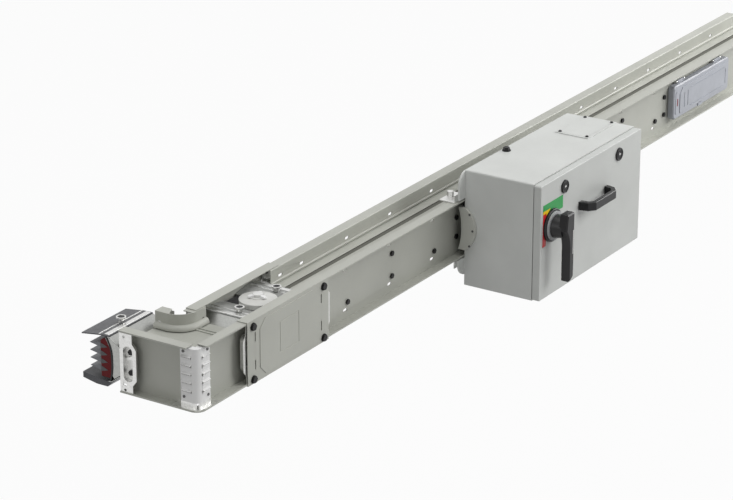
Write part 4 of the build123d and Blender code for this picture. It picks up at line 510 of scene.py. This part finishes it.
# Places taken over from part.py, in millimetres, with the disc's top rounded
LEG_X = -1902
LEG_END = 140
ELBOW_END = -1762
JOINT_X = -1630
STRAIGHT_START = -1498
STRAIGHT_END = 1002
WEB_INNER = 55.5
CORE_Z = 75
SHEET_TOP = 113
SHEET_LOW = 108.5
INNER_CENTRE = (LEG_X + 105.5, 105.5)
INNER_RADIUS = 50
PLATE_TOP = 134
PLATE_HALF = 84
STUD_OFFSET = 56
DISC_TOP = 146.8
COMB_HALF = 80
COMB_LEVELS = (46.2, 65.4, 84.6, 103.8)
LOUVRE_LEVELS = (41.5, 62.5, 83.5, 104.5, 125.5)
CORNER_FACE = 73.5
LOCKS = {"left": -711.5, "right": -423.0}
LOCK_Z = 198
OUTLET_HEIGHT = 100

# End frames: the middle of each end's mouth and the directions outward and across
ENDS = {
    "leg": ((LEG_X, LEG_END), (0, 1), (1, 0)),
    "elbow": ((ELBOW_END, 0), (1, 0), (0, 1)),
    "straight": ((STRAIGHT_START, 0), (-1, 0), (0, 1)),
    "far": ((STRAIGHT_END, 0), (1, 0), (0, 1)),
}
FREE_ENDS = ("leg", "far")

# How far trim is sunk into the face that carries it, in millimetres
SINK = 0.2


def at_end(end, out, across, up):
    """A point given by its distance out of an end and across it."""
    middle, outward, sideways = ENDS[end]
    return (
        middle[0] + outward[0] * out + sideways[0] * across,
        middle[1] + outward[1] * out + sideways[1] * across,
        up,
    )


def along_width(end, distance):
    """A level vector of this length across an end."""
    sideways = ENDS[end][2]
    return (sideways[0] * distance, sideways[1] * distance, 0)


def bar_across(work, end, section, half):
    """A bar across an end, with a section of (distance out, height)."""
    loops = [[at_end(end, out, across, up) for out, up in section] for across in (-half, half)]
    bridge(work, loops, False)


# Sections along a web: (distance from the web's inner face, height)
ROLL_SECTION = (
    (-0.4, 129), (1.2, 128.6), (4, 127.2), (6.8, 124.6),
    (8.8, 121), (9.6, 117.6), (9.6, 115.6), (-0.4, 115.6),
)
ROLL_STEPS = 14
BEAD_SECTION = (
    (-0.3, 122), (1.2, 121.4), (2.4, 119.6), (2.6, 117.2), (1.4, 115.2), (-0.3, 114.6),
)


def make_inner_roll():
    """The rolled foot of the elbow's curved inner channel."""
    path = [(LEG_X + WEB_INNER, LEG_END)]
    for i in range(ROLL_STEPS + 1):
        angle = math.pi + i / ROLL_STEPS * math.pi / 2
        path.append((
            INNER_CENTRE[0] + INNER_RADIUS * math.cos(angle),
            INNER_CENTRE[1] + INNER_RADIUS * math.sin(angle),
        ))
    path.append((ELBOW_END, WEB_INNER))
    path.reverse()
    work = bmesh.new()
    sweep(work, path, ROLL_SECTION)
    add_piece("elbow_inner_roll", work, "trunking", "trunk_paint")


def make_web_bead():
    """The small pressed bead at the foot of the rear web, along the straight."""
    work = bmesh.new()
    sweep(work, [(STRAIGHT_END, WEB_INNER), (STRAIGHT_START, WEB_INNER)], BEAD_SECTION)
    add_piece("rear_web_bead", work, "trunking", "trunk_paint")


# The groove in the straight's top sheet and its rounded edge, in millimetres
GROOVE_LEFT = 12.5
GROOVE_RIGHT = 27.5
GROOVE_FLOOR = 109.6
GROOVE_EDGE = 1.5
GROOVE_EDGE_DROP = 0.8

# The dark strip in the groove, painted shade standing in for the groove's shadow: its gap to the
# groove's sides, its sheet, its floor, its top and its ends
SHADE_STRIP_GAP = 0.1
SHADE_STRIP_SHEET = 0.6
SHADE_STRIP_FLOOR = GROOVE_FLOOR + 0.5
SHADE_STRIP_TOP = SHEET_TOP - 1.2
SHADE_STRIP_START = STRAIGHT_START + 6
SHADE_STRIP_END = STRAIGHT_END - 1


def make_packet_sheet():
    """The straight's top sheet with its long groove, in place of the flat one."""
    section = [
        (-WEB_INNER, SHEET_LOW), (-WEB_INNER, SHEET_TOP),
        (GROOVE_LEFT - GROOVE_EDGE, SHEET_TOP), (GROOVE_LEFT, SHEET_TOP - GROOVE_EDGE_DROP),
        (GROOVE_LEFT, GROOVE_FLOOR), (GROOVE_RIGHT, GROOVE_FLOOR),
        (GROOVE_RIGHT, SHEET_TOP - GROOVE_EDGE_DROP), (GROOVE_RIGHT + GROOVE_EDGE, SHEET_TOP),
        (WEB_INNER, SHEET_TOP), (WEB_INNER, SHEET_LOW),
    ]
    work = bmesh.new()
    sweep(work, [(STRAIGHT_START, 0), (STRAIGHT_END, 0)], section)
    sheet = add_piece("packet_sheet", work, "trunking", "trunk_paint")
    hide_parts("straight_top_sheet")


def make_groove_shade():
    """A dark strip lying in the long groove: painted shade standing in for the groove's shadow."""
    left = GROOVE_LEFT + SHADE_STRIP_GAP
    right = GROOVE_RIGHT - SHADE_STRIP_GAP
    section = [
        (left, GROOVE_FLOOR), (left, SHADE_STRIP_TOP),
        (left + SHADE_STRIP_SHEET, SHADE_STRIP_TOP), (left + SHADE_STRIP_SHEET, SHADE_STRIP_FLOOR),
        (right - SHADE_STRIP_SHEET, SHADE_STRIP_FLOOR), (right - SHADE_STRIP_SHEET, SHADE_STRIP_TOP),
        (right, SHADE_STRIP_TOP), (right, GROOVE_FLOOR),
    ]
    work = bmesh.new()
    sweep(work, [(SHADE_STRIP_START, 0), (SHADE_STRIP_END, 0)], section)
    # The dark strip is painted shade, laid where the groove's shadow falls
    add_piece("groove_shade_strip", work, "trunking", "dark_insulation", "painted_shade_grey")


# Sections across an end's top plate: (distance out, height)
RAMP_SECTION = (
    (25, 127.4), (33, PLATE_TOP + 0.1), (44, PLATE_TOP - 0.3),
    (44, PLATE_TOP + 0.6), (32.6, PLATE_TOP + 1.1), (24.4, 128.2),
)
RAMP_HALF = 80
RIDGE_SECTION = ((55.6, 132.8), (56.0, 133.9), (57.0, 134.3), (58.0, 133.7), (58.4, 132.3))
RIDGE_HALF = PLATE_HALF - 1


def make_end_ramps():
    """The bright ramp and the thin raised line across each joint end's top plate."""
    ramps = bmesh.new()
    lines = bmesh.new()
    for end in ENDS:
        bar_across(ramps, end, RAMP_SECTION, RAMP_HALF)
        bar_across(lines, end, RIDGE_SECTION, RIDGE_HALF)
    add_piece("end_ramps", ramps, "trunking", "galvanised_steel", width=0.2)
    add_piece("end_plate_ridges", lines, "trunking", "galvanised_steel")


# The boot's edge: its line as (distance out, height over the core), half its width, the face it
# lies on and its depth
BOOT_CURVE = (
    (37, 56), (33, 47), (27.5, 36), (24, 26), (22.3, 14),
    (21.6, 0), (21.5, -18), (23, -34), (26, -48), (31, -59),
)
BOOT_EDGE_HALF = 2.2
BOOT_FACE = PLATE_HALF - SINK
BOOT_DEPTH = 6


def make_boot_edges():
    """The black curved edge of the moulded boot at each free end."""
    outer = [(out - BOOT_EDGE_HALF, CORE_Z + up) for out, up in BOOT_CURVE]
    inner = [(out + BOOT_EDGE_HALF, CORE_Z + up) for out, up in reversed(BOOT_CURVE)]
    work = bmesh.new()
    for end in FREE_ENDS:
        for side in (-1, 1):
            outline = [at_end(end, out, side * BOOT_FACE, up) for out, up in outer + inner]
            prism(work, outline, along_width(end, -side * BOOT_DEPTH))
    add_piece("end_boot_edges", work, "trunking", "black_moulding", width=0.4)


# Section of a stud's plug: (radius, height)
PLUG_SECTION = (
    (0.6, 145.1), (5.6, 145.3), (7.4, 146.2), (8.3, 146.0), (8.3, 144.6), (0.6, 144.6),
)


def make_stud_plugs():
    """Black plugs seated in the ringed heads of the spacer studs."""
    work = bmesh.new()
    for end in ENDS:
        turn(work, at_end(end, STUD_OFFSET, 0, 0), 2, PLUG_SECTION)
    add_piece("stud_plugs", work, "trunking", "black_moulding")


# The bolt's star: its arms' directions in degrees and, along an arm, (distance out, half width,
# height), with how much wider an arm is at its foot
STAR_ARMS = (20, 140, 260)
STAR_STATIONS = ((4, 6.0, 152.8), (14, 5.2, 152.4), (21, 4.4, 151.4), (25, 3.2, 150.2))
STAR_FOOT = 1


def make_bolt_star():
    """The three-armed wrench head raised on the joint bolt's upper disc."""
    work = bmesh.new()
    centre = Vector((JOINT_X, 0, 0))
    foot = Vector((0, 0, DISC_TOP - SINK))
    for arm in STAR_ARMS:
        angle = math.radians(arm)
        along = Vector((math.cos(angle), math.sin(angle), 0))
        across = Vector((-along.y, along.x, 0))
        loops = []
        for out, half, up in STAR_STATIONS:
            base = centre + along * out
            head = Vector((0, 0, up))
            loops.append([
                base - across * (half + STAR_FOOT) + foot,
                base - across * half + head,
                base + across * half + head,
                base + across * (half + STAR_FOOT) + foot,
            ])
        bridge(work, loops, False)
    add_piece("joint_bolt_star", work, "trunking", "galvanised_steel", "corner_paint", 0.6)


# Where a louvre's lip begins and ends along the face, and the sections of the lip and of the dark
# strip
# under it, painted shadow of the lip: (distance from the face, height over the louvre's level)
LOUVRE_SPAN = (-56.0, -29.5)
LIP_SECTION = ((-SINK, 7.4), (3.4, 5.2), (5.4, 4.0), (5.0, 3.2), (-SINK, 3.2))
SHADOW_STRIP_SECTION = ((-SINK, 3.1), (3.3, 3.1), (3.3, 1.7), (-SINK, 1.7))


def make_louvres():
    """The bright lips over the corner plate's louvres, and dark strips under them as painted
    shadow of the lips.
    """
    lips = bmesh.new()
    shadow_strips = bmesh.new()
    for level in LOUVRE_LEVELS:
        for work, section in ((lips, LIP_SECTION), (shadow_strips, SHADOW_STRIP_SECTION)):
            placed = [(CORNER_FACE + out, level + up) for out, up in section]
            front = [[(LEG_X + along, -out, up) for out, up in placed] for along in LOUVRE_SPAN]
            left = [[(LEG_X - out, along, up) for out, up in placed] for along in LOUVRE_SPAN]
            bridge(work, front, False)
            bridge(work, left, False)
    add_piece("louvre_lips", lips, "trunking", "corner_paint", width=0.2)
    # Dark strips painted under the lips as their shadow
    add_piece("louvre_shadow_strips", shadow_strips, "trunking", "dark_insulation", "painted_shade_grey")


# A contact fin's root: its outline as (distance out, height over the fin's level), how deep it
# is sunk and how thick it is
ROOT_OUTLINE = ((56, 6.5), (46, 3.5), (36, -1), (46, -4.5), (56, -6.5))
ROOT_SINK = 0.3
ROOT_THICKNESS = 0.9


def make_comb_roots():
    """The dark roots of the contact fins on the sides of the red boots at the free ends."""
    work = bmesh.new()
    for end in FREE_ENDS:
        for side in (-1, 1):
            across = side * (COMB_HALF - ROOT_SINK)
            for level in COMB_LEVELS:
                outline = [at_end(end, out, across, level + up) for out, up in ROOT_OUTLINE]
                prism(work, outline, along_width(end, side * ROOT_THICKNESS))
    add_piece("comb_roots", work, "trunking", "dark_insulation", width=0.2)


# Sections of a lock about its axis: (radius, Y). The wing is (offset, height from the axis).
BEZEL_SECTION = (
    (9.3, -306.6), (9.3, -309.4), (11.2, -309.0), (13.8, -309.4),
    (15.2, -311.2), (16.6, -311.0), (17.6, -309.4), (17.8, -306.6),
)
BEZEL_STEPS = 48
PIN_SECTION = ((0.3, -309.0), (0.3, -310.4), (1.9, -310.4), (2.4, -310.0), (2.4, -309.0))
PIN_STEPS = 20
WING_OUTLINE = ((1.6, -1.0), (5.4, -0.8), (5.4, 0.8), (1.6, 1.0))
WING_BACK = -309.2
WING_DEPTH = 1.1


def make_lock_bezels():
    """The round housings of the door's two quarter-turn locks."""
    work = bmesh.new()
    for x in LOCKS.values():
        turn(work, (x, 0, LOCK_Z), 1, BEZEL_SECTION, BEZEL_STEPS)
    add_piece("lock_bezels", work, "door", "black_moulding")


def make_lock_pins():
    """The plated pin with one wing in the middle of each lock."""
    for side, x in LOCKS.items():
        work = bmesh.new()
        turn(work, (x, 0, LOCK_Z), 1, PIN_SECTION, PIN_STEPS)
        wing = [(x + out, WING_BACK, LOCK_Z + up) for out, up in WING_OUTLINE]
        prism(work, wing, (0, -WING_DEPTH, 0))
        add_piece("lock_pin_" + side, work, "lock_" + side, "galvanised_steel")


def face_plate(work, front, sides, proud, cut, corner):
    """A plate standing out from the face at Y front, its upper left corner cut by its own size."""
    x0, x1, z0, z1 = sides
    back = front + SINK
    outline = [
        (x0 + cut, back, z1), (x1 - corner, back, z1), (x1, back, z1 - corner),
        (x1, back, z0 + corner), (x1 - corner, back, z0), (x0 + corner, back, z0),
        (x0, back, z0 + corner), (x0, back, z1 - cut),
    ]
    prism(work, outline, (0, -proud - SINK, 0))


def make_outlet_panel():
    """The tap-off cover's raised panel with its cut corner, latch, ribs and red mark."""
    low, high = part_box("outlet_cover")
    left, front, bottom = (value / MM for value in low)
    right = high[0] / MM
    top = bottom + OUTLET_HEIGHT
    rib = 1.6
    upright = [(x, x + rib, bottom + 24, top - 30) for x in (left + 62, left + 84, right - 26)]
    level = [(left + 100, right - 34, z, z + rib) for z in (bottom + 20, top - 26)]
    # name, slot, finish, soft edge, and its plates: sides, height, upper left cut, other corners
    pieces = (
        ("outlet_panel", "cover_moulding", None, 0.6, [
            ((left + 36, right - 14, bottom + 12, top - 13), 2.0, 16, 3.0),
        ]),
        ("outlet_latch", "cover_moulding", None, 0.5, [
            ((left + 10, left + 30, bottom + 14, top - 18), 1.4, 6, 3.0),
            ((left + 152, left + 178, bottom + 1.5, bottom + 9.5), 3.0, 1.5, 1.5),
        ]),
        ("outlet_panel_ribs", "cover_moulding", "panel_grey", 0, [
            (sides, 2.8, 0.4, 0.4) for sides in upright + level
        ]),
        ("outlet_mark", "red_insulation", "mark_red", 0, [
            ((left + 18, left + 22.5, bottom + 38, top - 40), 1.9, 0.6, 0.6),
        ]),
    )
    for name, slot, finish, width, plates in pieces:
        work = bmesh.new()
        for sides, proud, cut, corner in plates:
            face_plate(work, front, sides, proud, cut, corner)
        add_piece(name, work, "outlet_cover", slot, finish, width)


make_inner_roll()
make_web_bead()
make_packet_sheet()
make_groove_shade()
make_end_ramps()
make_boot_edges()
make_stud_plugs()
make_bolt_star()
make_louvres()
make_comb_roots()
make_lock_bezels()
make_lock_pins()
make_outlet_panel()


def set_camera():
    """The photograph's camera."""
    data = bpy.data.cameras.new("camera")
    data.sensor_fit = "HORIZONTAL"
    data.sensor_width = SENSOR_WIDTH
    data.lens = FOCAL_PIXELS * SENSOR_WIDTH / IMAGE_WIDTH
    data.clip_end = 60
    camera = bpy.data.objects.new("camera", data)
    camera.location = CAMERA_PLACE
    camera.rotation_euler = (math.pi / 2 - CAMERA_ELEVATION, 0, CAMERA_AZIMUTH)
    scene.collection.objects.link(camera)
    scene.camera = camera


set_camera()


def seen_rays(tree):
    """1 for camera, glossy and transmission rays."""
    rays = tree.nodes.new("ShaderNodeLightPath")
    total = rays.outputs["Is Camera Ray"]
    for name in ("Is Glossy Ray", "Is Transmission Ray"):
        node = tree.nodes.new("ShaderNodeMath")
        node.operation = "ADD"
        node.use_clamp = True
        tree.links.new(total, node.inputs[0])
        tree.links.new(rays.outputs[name], node.inputs[1])
        total = node.outputs["Value"]
    return total


def set_world():
    """White where it is seen, and a plain soft level where it lights the object."""
    world = bpy.data.worlds.new("world")
    scene.world = world
    world.use_nodes = True
    tree = world.node_tree
    background = tree.nodes["Background"]
    background.inputs["Color"].default_value = (1, 1, 1, 1)
    strength = tree.nodes.new("ShaderNodeMapRange")
    strength.inputs["To Min"].default_value = WORLD_LIGHT
    strength.inputs["To Max"].default_value = 1.0
    tree.links.new(seen_rays(tree), strength.inputs["Value"])
    tree.links.new(strength.outputs["Result"], background.inputs["Strength"])


def set_floor():
    """A wide pale floor below the hung run."""
    mesh = bpy.data.meshes.new("floor")
    level = cad_box[0][2] - FLOOR_DROP
    corners = [
        (x * FLOOR_HALF, y * FLOOR_HALF, level) for x, y in ((-1, -1), (1, -1), (1, 1), (-1, 1))
    ]
    mesh.from_pydata(corners, [], [(0, 1, 2, 3)])
    floor = bpy.data.objects.new("floor", mesh)
    scene.collection.objects.link(floor)
    material, tree, shader = new_material("floor")
    shader.inputs["Base Color"].default_value = (FLOOR_GREY, FLOOR_GREY, FLOOR_GREY, 1)
    shader.inputs["Roughness"].default_value = 0.9
    glow = tree.nodes.new("ShaderNodeEmission")
    glow.inputs["Color"].default_value = (1, 1, 1, 1)
    mix = tree.nodes.new("ShaderNodeMixShader")
    share = tree.nodes.new("ShaderNodeMath")
    share.operation = "MULTIPLY"
    share.inputs[1].default_value = FLOOR_WHITE
    tree.links.new(seen_rays(tree), share.inputs[0])
    tree.links.new(share.outputs["Value"], mix.inputs["Fac"])
    tree.links.new(shader.outputs["BSDF"], mix.inputs[1])
    tree.links.new(glow.outputs["Emission"], mix.inputs[2])
    tree.links.new(mix.outputs["Shader"], tree.nodes["Material Output"].inputs["Surface"])
    mesh.materials.append(material)


LAMPS = (
    # name, place, aim, size, power
    ("key_front", (5.0, -11.0, 7.0), (-0.6, 0, 0.08), 7.0, 840),
    ("top", (-1.0, -1.0, 11.0), (-0.6, 0, 0.08), 9.0, 545),
    ("side_left", (-12.0, 1.0, 4.0), (-0.6, 0, 0.08), 6.0, 150),
    ("far_end", (2.5, -1.3, 1.2), (1.0, 0, 0.08), 1.2, 42),
)


def set_lamps():
    """Large soft lamps; the last one lifts the far end, which is palest in the photograph."""
    for name, place, target, size, power in LAMPS:
        data = bpy.data.lights.new(name, "AREA")
        data.shape = "SQUARE"
        data.size = size
        data.energy = power
        lamp = bpy.data.objects.new(name, data)
        lamp.location = place
        aim = Vector(target) - Vector(place)
        lamp.rotation_euler = aim.to_track_quat("-Z", "Y").to_euler()
        scene.collection.objects.link(lamp)


set_world()
set_floor()
set_lamps()
scene.view_settings.view_transform = "Standard"
